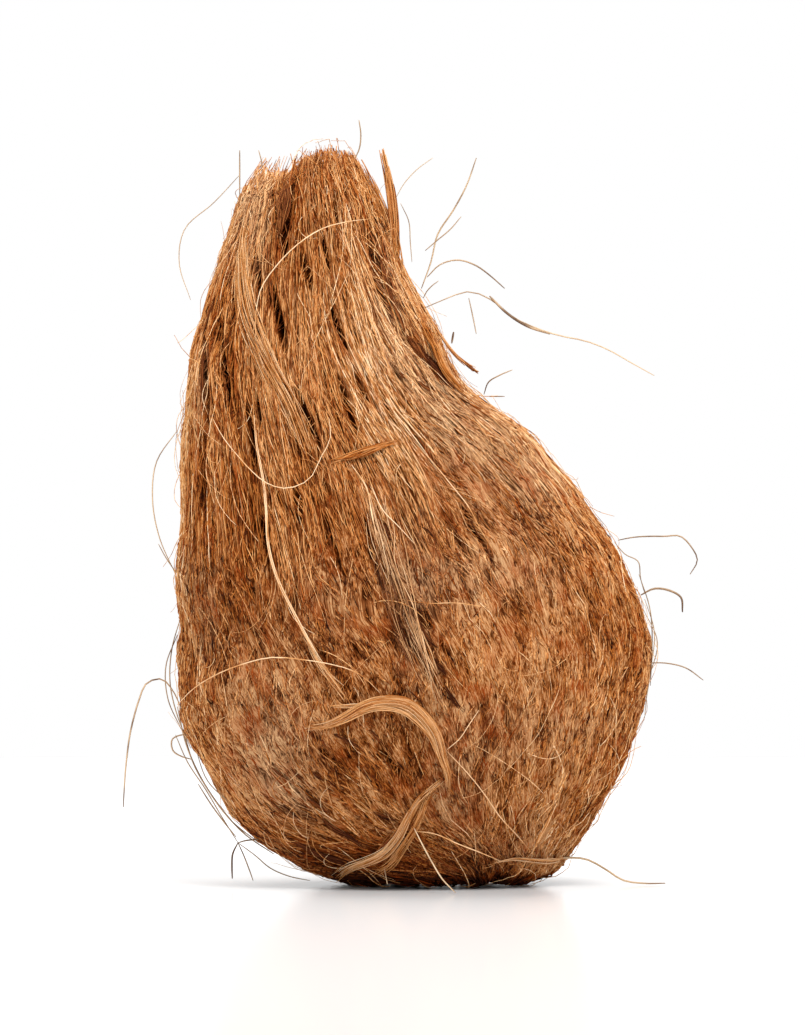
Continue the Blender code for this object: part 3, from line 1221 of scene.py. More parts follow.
@dataclass
class LaidCoir:
    """Strands of coir that lie on the mat, along its grain.

    Attributes:
        form: The coconut's form.
        colour: How the coir's colour varies.
        material: The strands' finish.
        name: What its pieces are called.
        seed: Starts the random draws.
        pieces: How many pieces it is made in, which keeps each one light.
        cuts: The kinds of strand in each piece.
    """

    form: CoconutForm
    colour: CoirColour
    material: Material
    name: str
    seed: int
    pieces: int
    cuts: tuple[StrandCut, ...]

    # How the grain swirls, in radians: on the nut, how much less on the tuft, in which waves,
    # and how much the finer waves on the nut add
    SWIRL, TUFT_CALM = 0.16, 0.09
    SWIRLS = ((1.0, Noise(21, 18, 16)), (0.7, Noise(22, 44, 40)))
    FINE_SWIRL, FINE_WAVES = 1.6, Noise(23, 90, 66)
    NUT_LEANS = (Lean(0.3, 0.7, 0.12), Lean(0.35, 0.84, 0.06, 0.6, 0.1))
    STRAP_LEAN = Lean(0.35, 0.89, 0.05, 0.76, 0.06)
    SWEPT_LEAN = 0.9  # radians, round the base
    SOWN = (0.015, 0.995, 400)  # first and last place along the piece, and their number
    SPARE = 5  # places drawn for each one kept
    # Where the coir is swept, strands are longer by one share and keep closer by another
    SWEPT_LONGER, SWEPT_CLOSER = 2.4, 0.55
    # Strands of the nut grow longer where they run up into the tuft: share, and where
    RUN_UP, RUN_UP_FADE = 1.3, (0.44, 0.6)
    # The cut: how much more uneven it is on the left, where, and its spread in mm
    LEFT_UNEVEN, LEFT_FADE, CUT_SPREAD = 3.5, (0.16, 0.36), (-1.5, 1.3)
    TIP_SPREAD, TIP_FADE = 2.0, (0.93, 1.0)  # how much more the tuft's tips stray
    WAVES = (0.6, 1.6)  # sideways waves along a strand
    RIPPLE, RIPPLE_SHIFT, RIPPLE_RUN = 0.12 * MM, 3, 9  # up and down, from the same draws
    CUT_ZONE = 0.97  # above this the ends aren't tucked in
    ROOT_TUCK = 1.5  # how far in the tuft's strands start, in mm
    PIT_FOLLOW = 0.85  # share of a pit's depth that strands sink into it
    TUFT_BLUNT, NUT_BLUNT = 0.45, 0.7  # thickness of the ends, as a share of the middle's
    # Painted shade of strands in pits: how dark for the first mm, how fast it grows, and the
    # deepest that counts. Then how dark their ends are.
    PIT_DARK, PIT_POWER, PIT_MOST, END_DARK = 0.08, 1.6, 4.0, 0.08
    RAISED_PALE = 0.2  # for each millimetre that a strand lies higher
    # paler for each millimetre that a strand lies higher: painted light and painted shade, and the dust
    # that low strands hold
    GREY_STRAY, RUST_STRAY, MOST, GREY_FADE = 0.15, 0.3, 0.8, (0.35, 0.65)

    def grain(self, s: Array, turn: Array) -> Array:
        """Gives how far the grain leans off straight up, in radians."""
        tuft = self.form.tuft_share(s, turn)
        swirl = added(self.SWIRLS, s, turn)
        swirl += self.FINE_SWIRL * (1.0 - tuft) * self.FINE_WAVES(s, turn)
        around = np.mod(turn, 1.0)
        leaning = sum(lean.at(s, around) for lean in self.NUT_LEANS)
        lean = swirl * (self.SWIRL - self.TUFT_CALM * tuft) - leaning * (1.0 - tuft)
        lean -= self.STRAP_LEAN.at(s, around)
        return lean - self.SWEPT_LEAN * self.form.swept(s, turn)

    def sow(self, cut: StrandCut, rng: np.random.Generator) -> tuple[Array, Array]:
        """Draws the places s and turn of one kind of strand, evenly over the nut or the tuft."""
        ladder = np.linspace(*self.SOWN)
        weight = np.cumsum(self.form.girth(ladder))
        s = np.interp(rng.uniform(0, weight[-1], self.SPARE * cut.count), weight, ladder)
        turn = rng.uniform(0, 1, self.SPARE * cut.count)
        tuft = self.form.tuft_share(s, turn)
        kept = np.flatnonzero(rng.uniform(size=len(s)) < (tuft if cut.tuft else 1 - tuft))
        return s[kept[: cut.count]], turn[kept[: cut.count]]

    def lay(self, cut: StrandCut, strands: Strands, rng: np.random.Generator) -> None:
        """Lays one kind of strand.

        Args:
            cut: How the strands are cut and laid.
            strands: Where they are gathered.
            rng: The random draws.
        """
        form = self.form
        s0, turn0 = self.sow(cut, rng)
        count = len(s0)
        swept = form.swept(s0, turn0)
        longer = self.SWEPT_LONGER * swept
        if not cut.tuft:
            longer = longer + self.RUN_UP * smooth_step(*self.RUN_UP_FADE, s0)
        length = rng.uniform(*cut.reach, count) * MM * (1.0 + longer)
        heading = rng.normal(0.0, cut.stray, count) * (1.0 - self.SWEPT_CLOSER * swept)
        phase = rng.uniform(0, TURN, count)
        waves = rng.uniform(*self.WAVES, count)
        t = np.linspace(0.0, 1.0, cut.steps)
        s, turn = np.empty((2, count, cut.steps))
        s[:, 0] = np.maximum(s0 - 0.5 * length / form.length, 0.0)
        turn[:, 0] = turn0
        uneven = 1.0 + self.LEFT_UNEVEN * smooth_step(*self.LEFT_FADE, -np.cos(TURN * turn0))
        cut_at = 1.0 + uneven * rng.uniform(*self.CUT_SPREAD, count) * MM / form.length
        over = np.maximum(s[:, 0] + length / form.length - cut_at, 0.0) * form.length
        step = (length - over) / (cut.steps - 1)
        for k in range(1, cut.steps):
            stray = 1.0 + self.TIP_SPREAD * cut.tuft * smooth_step(*self.TIP_FADE, s[:, k - 1])
            lean = heading * stray + self.grain(s[:, k - 1], turn[:, k - 1])
            lean += cut.wave * np.sin(phase + TURN * waves * t[k])
            s[:, k] = s[:, k - 1] + np.cos(lean) * step / form.length
            turn[:, k] = turn[:, k - 1] + np.sin(lean) * step / form.girth(s[:, k])
        turn = form.combed(s, turn)
        pits = form.pits(s, turn)
        height = rng.uniform(*cut.lift, count)[:, None] * MM
        arch = np.sin(math.pi * t) ** 0.5
        rippling = self.RIPPLE_SHIFT * phase[:, None] + self.RIPPLE_RUN * waves[:, None] * t
        ripple = self.RIPPLE * np.sin(rippling) * arch
        tucked = np.where(s > self.CUT_ZONE, 0.0, cut.tuck * MM * (1 - arch))
        if cut.tuft:
            tucked = tucked + self.ROOT_TUCK * MM * (1.0 - form.tuft_share(s, turn))
        path, outward = form.place(s, turn, height - tucked + ripple - self.PIT_FOLLOW * pits)
        blunt = self.TUFT_BLUNT if cut.tuft else self.NUT_BLUNT
        radius = rng.uniform(*cut.radius, count)[:, None] * MM * (blunt + (1 - blunt) * arch)
        looks = self.looks(cut, s, turn, height[:, 0], path, rng)
        # painted shade of the pits that the strands sink into
        shade = self.PIT_DARK * np.minimum(pits / MM, self.PIT_MOST) ** self.PIT_POWER
        shade += self.END_DARK * (1 - arch)
        # painted shade of the foot and the underside
        shade += self.colour.foot_shade(s)
        looks = (looks[0][:, None] - shade, *looks[1:])
        strands.add(path, outward, radius, looks, form.flow(s, turn))

    def looks(
        self, cut: StrandCut, s: Array, turn: Array, height: Array,
        at: Array, rng: np.random.Generator,
    ) -> tuple[Array, Array, Array]:
        """Draws how pale, grey and rusty each strand is.

        Args:
            cut: The kind of strand.
            s: The strands' points along the piece.
            turn: The same points round the piece.
            height: How far each stands off the mat.
            at: The strands' points in space.
            rng: The random draws.

        Returns:
            Paleness, greyness and rustiness, each from 0 to 1.
        """
        middle = s.shape[1] // 2
        tone, grey, rust = self.colour.read(s[:, middle], turn[:, middle], at[:, middle])
        # a random spread, then painted light and shade by how high the strand lies
        tone += rng.normal(*cut.tone, len(s)) + self.RAISED_PALE * (height / MM - cut.lift[1])
        grey = grey + self.GREY_STRAY * rng.uniform(0, 1, len(s))
        grey = grey * smooth_step(*self.GREY_FADE, tone)
        rust = cut.rust * (rust + self.RUST_STRAY * rng.uniform(0, 1, len(s)) ** 2)
        return tone, np.clip(grey, 0.0, self.MOST), np.clip(rust, 0.0, self.MOST)

    def build(self) -> list[Object]:
        """Makes the strands' pieces and returns them."""
        rng = np.random.default_rng(self.seed)
        made = []
        for number in range(1, self.pieces + 1):
            strands = Strands()
            for cut in self.cuts:
                self.lay(cut, strands, rng)
            made.append(strands.build(f"{self.name}_{number}", self.material))
        return made


@dataclass
class CutEnds:
    """The ends of the tuft's inner strands, which fill its cut top.

    Attributes:
        form: The coconut's form.
        material: The strands' finish.
        count: How many strands.
        steps: Points of each strand.
        length: How long each is, in metres.
        hollow: How deep the cut is hollowed, in metres.
    """

    form: CoconutForm
    material: Material
    count: int = 900
    steps: int = 5
    length: float = 11 * MM
    hollow: float = 3.5 * MM

    OUTERMOST = 0.98  # share of the way from the middle to the rim
    UNEVEN = (-1.2, 1.6)  # how far they end below and above the hollow, in mm
    LEAN, LEAN_SPREAD = (0.1, 0.0, 1.0), 0.2
    STRAY = 0.6 * MM  # of the tips
    RADIUS, BLUNT = (0.14, 0.3), 0.6  # in mm, and the tip's share of it
    TONE, TONE_SPREAD, MOST_GREY = 0.52, 0.12, 0.25
    PALER, PALE_FADE = 0.25, (32 * MM, 38 * MM)  # on the left

    def build(self) -> list[Object]:
        """Makes the ends as one piece and returns it in a list."""
        rng = np.random.default_rng(303)
        turn = rng.uniform(0, 1, self.count)
        share = np.sqrt(rng.uniform(0, 1, self.count)) * self.OUTERMOST
        edge, outward = self.form.place(np.ones(self.count), turn, np.zeros(self.count))
        middle = edge.mean(axis=0)
        foot = middle + (edge - middle) * share[:, None]
        foot[:, 2] = edge[:, 2] * share + middle[2] * (1 - share)
        foot[:, 2] -= self.hollow * (1 - share**2) + rng.uniform(*self.UNEVEN, self.count) * MM
        t = np.linspace(-1.0, 0.0, self.steps)[:, None]
        lean = rng.normal(0, self.LEAN_SPREAD, (self.count, 1, 3)) + self.LEAN
        path = foot[:, None] + t * lean * self.length
        path += rng.normal(0, self.STRAY, (self.count, 1, 3)) * (1 + t) ** 2
        taper = np.linspace(1.0, self.BLUNT, self.steps)
        radius = rng.uniform(*self.RADIUS, self.count)[:, None] * MM * taper
        tone = rng.normal(self.TONE, self.TONE_SPREAD, self.count)
        tone += self.PALER * smooth_step(*self.PALE_FADE, -foot[:, 0])
        looks = (tone, rng.uniform(0, self.MOST_GREY, self.count), np.zeros(1))
        strands = Strands()
        strands.add(path, np.repeat(outward[:, None], self.steps, axis=1), radius, looks)
        return [strands.build("cut_ends", self.material)]


class Course(Enum):
    """How a listed strand or wisp runs."""

    LYING = "lies on the mat, and its heights are off the mat"
    FREE = "stands free, and its heights are y"


@dataclass(frozen=True)
class Wisp:
    """A listed hair, or a bundle of strands that run together. Lengths in millimetres.

    Attributes:
        points: Its course, x and z as seen from the front.
        heights: Off the mat, or y, at its start, middle and end.
        widths: Of the bundle at its start, middle and end.
        count: Strands in it.
        thick: Thickness of a strand.
        tone: How pale it is.
        grey: How grey it is.
        course: How it runs.
        fray: How far its ends spread.
    """

    points: Points
    heights: tuple[float, float, float] = (0.0, 1.5, 0.0)
    widths: tuple[float, float, float] = (0.0, 0.0, 0.0)
    count: int = 1
    thick: float = 0.3
    tone: float = 0.8
    grey: float = 0.1
    course: Course = Course.LYING
    fray: float = 0.6


@dataclass
class PlacedCoir:
    """Wisps and hairs that are placed one by one.

    Attributes:
        form: The coconut's form.
        sight: Finds where their points lie.
        material: The strands' finish.
        name: The piece's name.
        wisps: The wisps.
        steps: Points of each strand.
        streak: How many times longer the pith's flecks are than on laid coir.
        uneven: Spread of the paleness from strand to strand.
    """

    form: CoconutForm
    sight: Sight
    material: Material
    name: str
    wisps: tuple[Wisp, ...]
    steps: int = 22
    streak: float = 6.0
    uneven: float = 0.07

    SPINE_POINTS = 60
    STARTS, ENDS = (0.0, 0.3), (0.7, 1.0)  # where a bundle's strands start and end along it
    # As shares of a bundle's width: how high its strands pile up, and how far they drift across
    PILE, DRIFT = (-0.1, 0.2), 0.2
    DRIFT_TURNS = (2, 9)  # how often they drift to and fro, in radians
    THICKNESS, BLUNT = (0.7, 1.2), 0.5  # how it varies, and the share of it at the ends
    RUST = 0.1

    def spine(self, wisp: Wisp) -> tuple[Array, Array]:
        """Gives a wisp's middle line and the directions away from the coconut."""
        knots = max(4, len(wisp.points))
        points = smooth_curve(np.array(wisp.points, float), knots)
        heights = np.interp(np.linspace(0, 2, knots), (0, 1, 2), wisp.heights)
        if wisp.course is Course.FREE:
            line = self.sight.at_depth(points, heights)
            outward = np.tile((0.0, -1.0, 0.0), (knots, 1))
        else:
            s, turn = self.sight.find(points)
            line, outward = self.form.place(s, turn, heights * MM)
        line[:, 2] = np.maximum(line[:, 2], FLOOR_GAP)
        line, outward = (smooth_curve(part, self.SPINE_POINTS) for part in (line, outward))
        return line, unit(outward)

    def lay(self, wisp: Wisp, strands: Strands, rng: np.random.Generator) -> None:
        """Adds one wisp's strands.

        Args:
            wisp: The wisp.
            strands: Where they are gathered.
            rng: The random draws.
        """
        line, outward = self.spine(wisp)
        side = unit(np.cross(np.gradient(line, axis=0), outward))
        single, column = wisp.count == 1, (wisp.count, 1)
        start = np.zeros(1) if single else rng.uniform(*self.STARTS, wisp.count)
        end = np.ones(1) if single else rng.uniform(*self.ENDS, wisp.count)
        t = start[:, None] + (end - start)[:, None] * np.linspace(0, 1, self.steps)
        at = t * (len(line) - 1)
        low = np.minimum(at.astype(int), len(line) - 2)
        mix = (at - low)[..., None]
        path, out, across = (
            part[low] * (1 - mix) + part[low + 1] * mix for part in (line, outward, side)
        )
        width = np.interp(t, (0, 0.5, 1), wisp.widths)[..., None] * MM
        place = rng.uniform(-0.5, 0.5, column)[..., None]
        spread = rng.normal(0, wisp.fray * MM, column) * np.abs(2 * t - 1) ** 3
        spread = 0 * spread[..., None] if single else spread[..., None]
        pile = rng.uniform(*self.PILE, column)[..., None]
        phase = rng.uniform(0, TURN, column)
        drift = self.DRIFT * np.sin(phase + rng.uniform(*self.DRIFT_TURNS, column) * t)[..., None]
        path = path + across * (width * (place + drift) + spread) + out * width * pile
        arch = np.sin(math.pi * np.linspace(0, 1, self.steps)) ** 0.5
        taper = self.BLUNT + (1 - self.BLUNT) * arch
        uneven = rng.uniform(*self.THICKNESS, wisp.count)[:, None]
        radius = 0.5 * wisp.thick * MM * uneven * taper
        tone = wisp.tone + rng.normal(0, 0.0 if single else self.uneven, wisp.count)
        run = t * np.linalg.norm(line[-1] - line[0]) / self.streak
        flow = np.stack([0 * t + rng.uniform(0, 1, column), 0 * t, run], axis=-1)
        looks = (tone, np.full(1, wisp.grey), np.full(1, self.RUST))
        strands.add(path, out, radius, looks, flow)

    def build(self) -> list[Object]:
        """Makes all wisps one piece and returns it in a list."""
        rng = np.random.default_rng(404)
        strands = Strands()
        for wisp in self.wisps:
            self.lay(wisp, strands, rng)
        return [strands.build(self.name, self.material)]


FRONT_WISPS = (
    # the pale wisp that arches over the belly, with its fork and its lower part
    Wisp(
        ((-28.5, 41.5), (-21.7, 42.6), (-17.5, 44.8), (-12.7, 47.3), (-7.4, 48.5), (-2.1, 47.8),
         (2.1, 44.8), (5.3, 39.9), (7.6, 34.1), (9, 28.8), (9.4, 23.5)),
        (0.8, 2.6, 1), (0.5, 3.6, 0.9), 120, 0.24, 0.72, 0.05, fray=0.3,
    ),
    Wisp(((-23, 47.5), (-18, 47), (-11, 47.5)), (0.6, 1.2, 2), (0.2, 0.9, 1.2), 14, 0.22, 0.78,
         0.05, fray=0.2),
    Wisp(
        ((9.2, 29.5), (6, 27), (1, 22), (-2.5, 16.5), (-5, 12), (-9, 8.5), (-12.5, 6.5),
         (-18.5, 3.5), (-21.5, 1.5)),
        (1, 1.2, 0.4), (1, 2.6, 2), 27, 0.24, 0.82, 0, fray=1,
    ),
    Wisp(((8, 27.5), (4, 23), (1.5, 17.5), (-2.5, 11), (-6, 6), (-11, 2)),
         (0.5, 1, 0.2), (0.8, 2.4, 2.2), 20, 0.24, 0.7, 0, fray=1),
    Wisp(((7, 27), (1, 20.5), (-4, 13.5), (-10, 7), (-17, 3)), (0.2, 0.5, 0.2), (1, 3.4, 2.6),
         14, 0.24, 0.4, fray=1),
    # stained and weathered strands that run all the way down the crease
    Wisp(((-12.5, 104), (-9.5, 92), (-6, 80), (-2, 67), (3.5, 54), (8, 43)), (0, 0.35, 0),
         (2.5, 5.5, 3.5), 13, 0.22, 0.22, 0.4, fray=0.8),
    Wisp(((-11.5, 104), (-8.5, 92), (-5, 80), (-1, 67), (4, 54), (8.5, 43)), (0.1, 0.6, 0.1),
         (3, 6, 4), 9, 0.24, 0.75, 0.4, fray=0.8),
    # the short wisp across the tuft's foot, and the pale lock on the tuft's left
    Wisp(((-22, 111.8), (-15.5, 114), (-8.5, 116), (-4, 117.5)), (0.2, 0.8, 0.3), (0.7, 2.2, 0.9),
         36, 0.26, 0.6, 0),
    Wisp(((-45.5, 180), (-46.5, 165), (-45, 152), (-41, 141), (-35.5, 130), (-29, 114)),
         (-0.35, 0, -0.45), (3, 5.4, 4.4), 64, 0.24, 0.79, 0, fray=1),
    # the strap of coir along the tuft's right side, which lies over the nut's shoulder
    Wisp(((1, 152.5), (3.5, 147), (6.3, 142.4), (9, 138.2), (12, 133.8), (16, 129.5)),
         (0, 0.9, 0.3), (1.5, 4, 2), 30, 0.24, 0.56, 0, fray=1),
    # the stiff splinter that stands off the tuft, and the frayed stick on the shoulder
    Wisp(((-8, 155), (-5.4, 170), (-6.2, 183), (-8.6, 194.5)), (-2, -6, -6), (3.4, 2.2, 1.2),
         44, 0.5, 0.6, 0.1, Course.FREE, 0.1),
    Wisp(((-3, 152), (-5.5, 166), (-8.5, 177), (-12.5, 187), (-15, 191.5)), (-3, -5, -5),
         (2, 4.5, 1.2), 60, 0.3, 0.66, 0, Course.FREE, 0.5),
    Wisp(((3, 151.5), (6.5, 146), (9.5, 141.6), (12.5, 138.4), (14.8, 136.7), (17.2, 135.2)),
         (-9, -10, -10), (0.5, 0.6, 0.9), 10, 0.4, 0.62, 0.2, Course.FREE, 0.2),
    Wisp(((12.5, 138.5), (14.8, 136.9), (17.2, 135.4)), (-10, -10, -10), (0.4, 1, 1.3), 9, 0.5,
         0.36, 0.2, Course.FREE, 0.1),
)

FRONT_HAIRS = (
    # long hairs over the tuft, the shoulder and the belly
    Wisp(((-10.5, 176), (-19, 175), (-25, 172.5), (-30.5, 168.5), (-35.5, 163), (-40, 156.5),
          (-41.5, 149.5), (-41.5, 143)), (0.5, 4.5, 1), thick=0.4, tone=0.95),
    Wisp(((-53.5, 123.5), (-50.5, 118.5), (-45, 112.5), (-40, 107), (-35.5, 104.5),
          (-31.5, 104.5), (-27, 107), (-24, 112.5), (-22, 118.5), (-22.5, 123.5)),
         (0.5, 3.5, 0.8), thick=0.32, tone=0.95),
    Wisp(((-61.5, 47.5), (-57, 51.5), (-53, 54.5), (-45, 58), (-37.5, 60), (-29, 59.5),
          (-21, 58.5), (-14, 55.5), (-9, 50.5)), (1.5, 4, 1), thick=0.32, tone=0.9),
    Wisp(((-42.5, 125), (-41.5, 114), (-40, 106.5), (-39, 98), (-38, 87), (-34.5, 78), (-30, 69),
          (-26, 61), (-21, 54), (-17, 51)), (0.8, 1.2, 0.6), (0.3, 0.7, 0.9), 8, 0.36, 0.9),
    Wisp(((-29, 66.5), (-25.5, 60), (-22, 54), (-17.5, 48.5)), (0.5, 1.2, 0.5), (0.6, 1.7, 1),
         12, 0.26, 0.76, fray=0.3),
    # pale and weathered strands along the crease
    Wisp(((-16.5, 111.5), (-11.5, 102), (-10.5, 93), (-9, 89.5)), thick=0.4, tone=0.95, grey=0.25),
    Wisp(((-12.5, 110.5), (-10, 103), (-6.5, 96.5), (-2, 93), (0.5, 90.5)), thick=0.36, tone=0.95),
    Wisp(((-7, 113.5), (-3.5, 108), (0, 104.5)), thick=0.34, tone=0.9),
    Wisp(((0, 117.5), (5, 112), (9.5, 105.5), (14.5, 99), (18.5, 91.5), (22, 86)), thick=0.36,
         tone=0.9),
    Wisp(((-12.5, 99), (-9.5, 90), (-6, 82), (-2, 74)), (0.1, 0.7, 0.1), (2, 4.5, 3),
         5, 0.24, 0.78, 0.6, fray=1.2),
    Wisp(((-8, 106), (-4, 94), (-1.5, 83), (1, 70)), (0.1, 0.6, 0.1), (2, 5, 4), 5,
         0.24, 0.76, 0.4, fray=1.2),
    Wisp(((-3, 76), (0.5, 66), (4.5, 56), (8, 45)), (0.1, 0.7, 0.1), (2, 5, 3), 7, 0.24,
         0.7, 0.5, fray=1.2),
    Wisp(((-12.7, 103.8), (-10, 93.8), (-7, 83.5), (-5.8, 78)), (0.2, 0.8, 0.2), (1.2, 2.6, 1.6),
         6, 0.26, 0.84, 0.65),
    Wisp(((-1.6, 74), (0, 68.7), (2.1, 63.4), (4.2, 57.3)), (0.1, 0.5, 0.1), (0.6, 1.8, 1),
         4, 0.26, 0.84, 0.7, fray=0.4),
    Wisp(((-4, 75.5), (3.5, 74.5), (12, 74), (18.5, 73)), (0.4, 0.9, 0.4), thick=0.22),
    Wisp(((0, 72), (1.5, 65.5), (4, 59.5), (7, 51)), (0.2, 0.8, 0.2), (1, 2.6, 1.4), 4, 0.24,
         0.74, 0.5),
    # strands that cross the base
    Wisp(((8.5, 35.5), (14.5, 29), (19, 23), (24.5, 16), (29, 11), (32, 7.5)), (0.5, 1.6, 0.5),
         thick=0.34, tone=0.85),
    Wisp(((8.5, 35.5), (12.5, 39.5), (17, 46)), (0.5, 1.5, 0.5), thick=0.34, tone=0.9),
    Wisp(((-1, 14.5), (3.5, 14), (10, 12), (15.5, 10), (23, 6)), (0.5, 1.5, 0.5), thick=0.34,
         tone=0.85),
    Wisp(((16, 13.5), (16.5, 5.5)), (0.3, 0.8, 0.3)),
    Wisp(((19, 5.4), (27, 6.4), (35, 6.4), (42.5, 6.8)), (0.2, 0.8, 0.4), (0.5, 1.6, 0.8), 10, 0.28,
         0.8, 0, fray=0.4),
    Wisp(((37, 23), (33.5, 14), (30.5, 6.5)), (0.2, 0.7, 0.3), (0.5, 1.4, 0.8), 7, 0.28, 0.8, 0),
)

# Dark strands that paint shade into the gaps of the front: course, widest width and tone
DARK_STREAKS = (
    # in the gap under the strap, and up the tuft's right side
    (((1, 144), (4.2, 141), (7.7, 137.2), (11.1, 133.6), (13.4, 131.6)), 3.8, 0.04),
    (((-1.5, 146), (1.5, 142.5), (5, 138.5)), 3, 0.22),
    (((-9, 170.4), (-5.8, 157.2), (-2.4, 148), (0.3, 142.7)), 1.6, 0.26),
    (((1.8, 134.2), (4, 132.4), (7, 130.8)), 1.1, 0.12),
    (((-3, 136.5), (-1.2, 134.5)), 0.9, 0.15),
    # between the tuft's two bunches, and down its left flank
    (((-35, 187), (-34.5, 180), (-35.5, 172)), 3.6, 0.3),
    (((-53.1, 158), (-55, 151), (-56.4, 145)), 1.3, 0.14),
    (((-56, 144), (-56.6, 134), (-56.6, 124)), 1.2, 0.16),
    # along the crease
    (((-11.9, 95), (-10.3, 87)), 0.7, 0.12),
    (((-8.5, 96.5), (-5.8, 90.5)), 0.7, 0.12),
    (((-11, 86.5), (-8.5, 79), (-5.8, 75.8)), 0.5, 0.18),
    (((-6.3, 87), (-4.2, 79)), 0.5, 0.2),
    (((-6.3, 74.5), (-3.7, 66.3), (-1.6, 62)), 0.7, 0.15),
    (((-3.7, 63), (0, 58.7)), 0.7, 0.14),
    (((-0.3, 74), (2.6, 72)), 0.7, 0.15),
    (((1, 70.7), (3.2, 65.5), (5.8, 62)), 0.9, 0.08),
    (((5.3, 59.6), (8.5, 55.4)), 1.2, 0.08),
    (((7.9, 52.8), (10.6, 48.5), (13.2, 45.7)), 1.1, 0.08),
    (((-4.8, 59), (-3.7, 54)), 0.6, 0.15),
    (((-1.6, 52), (3.2, 46.2)), 0.5, 0.18),
    (((-1, 95.5), (1, 90)), 0.5, 0.18),
    (((1.6, 95.5), (5.8, 91.5)), 0.6, 0.18),
    (((8.5, 98.6), (12.2, 92.2), (14.3, 87)), 0.6, 0.16),
    (((15.3, 96.5), (17.4, 91.5)), 0.6, 0.15),
    (((0, 82.4), (1.6, 78.5)), 0.5, 0.2),
    # round the base
    (((-25.4, 17.7), (-19.6, 13.7), (-12.7, 9.8)), 1.8, 0.12),
    (((-34, 12.4), (-25.4, 7.7), (-15.3, 4.8)), 2.4, 0.08),
    (((-11, 19.3), (-4.2, 16.6)), 1.4, 0.12),
    (((-30, 10.5), (-24, 7.6), (-18, 6)), 2, 0.04),
    (((-42, 24.6), (-38, 20.5), (-34.1, 17.2)), 1, 0.16),
    (((-30.1, 23.2), (-25.5, 20.2), (-20.9, 18)), 1.1, 0.12),
    (((-54.7, 40.4), (-52, 37.5)), 0.9, 0.14),
    (((-49.4, 32.5), (-44.6, 27.5)), 0.8, 0.16),
    (((-40.2, 31.7), (-34.1, 26.2)), 0.9, 0.14),
    (((-33.6, 30.6), (-29.5, 27.2)), 0.9, 0.14),
    (((-27.5, 29.8), (-23.5, 26.6)), 1, 0.12),
    # under the arching wisp
    (((-22.2, 39.6), (-18, 38), (-14.3, 35.5)), 1.3, 0.12),
    (((-12, 41), (-8, 36.5)), 1, 0.14),
)

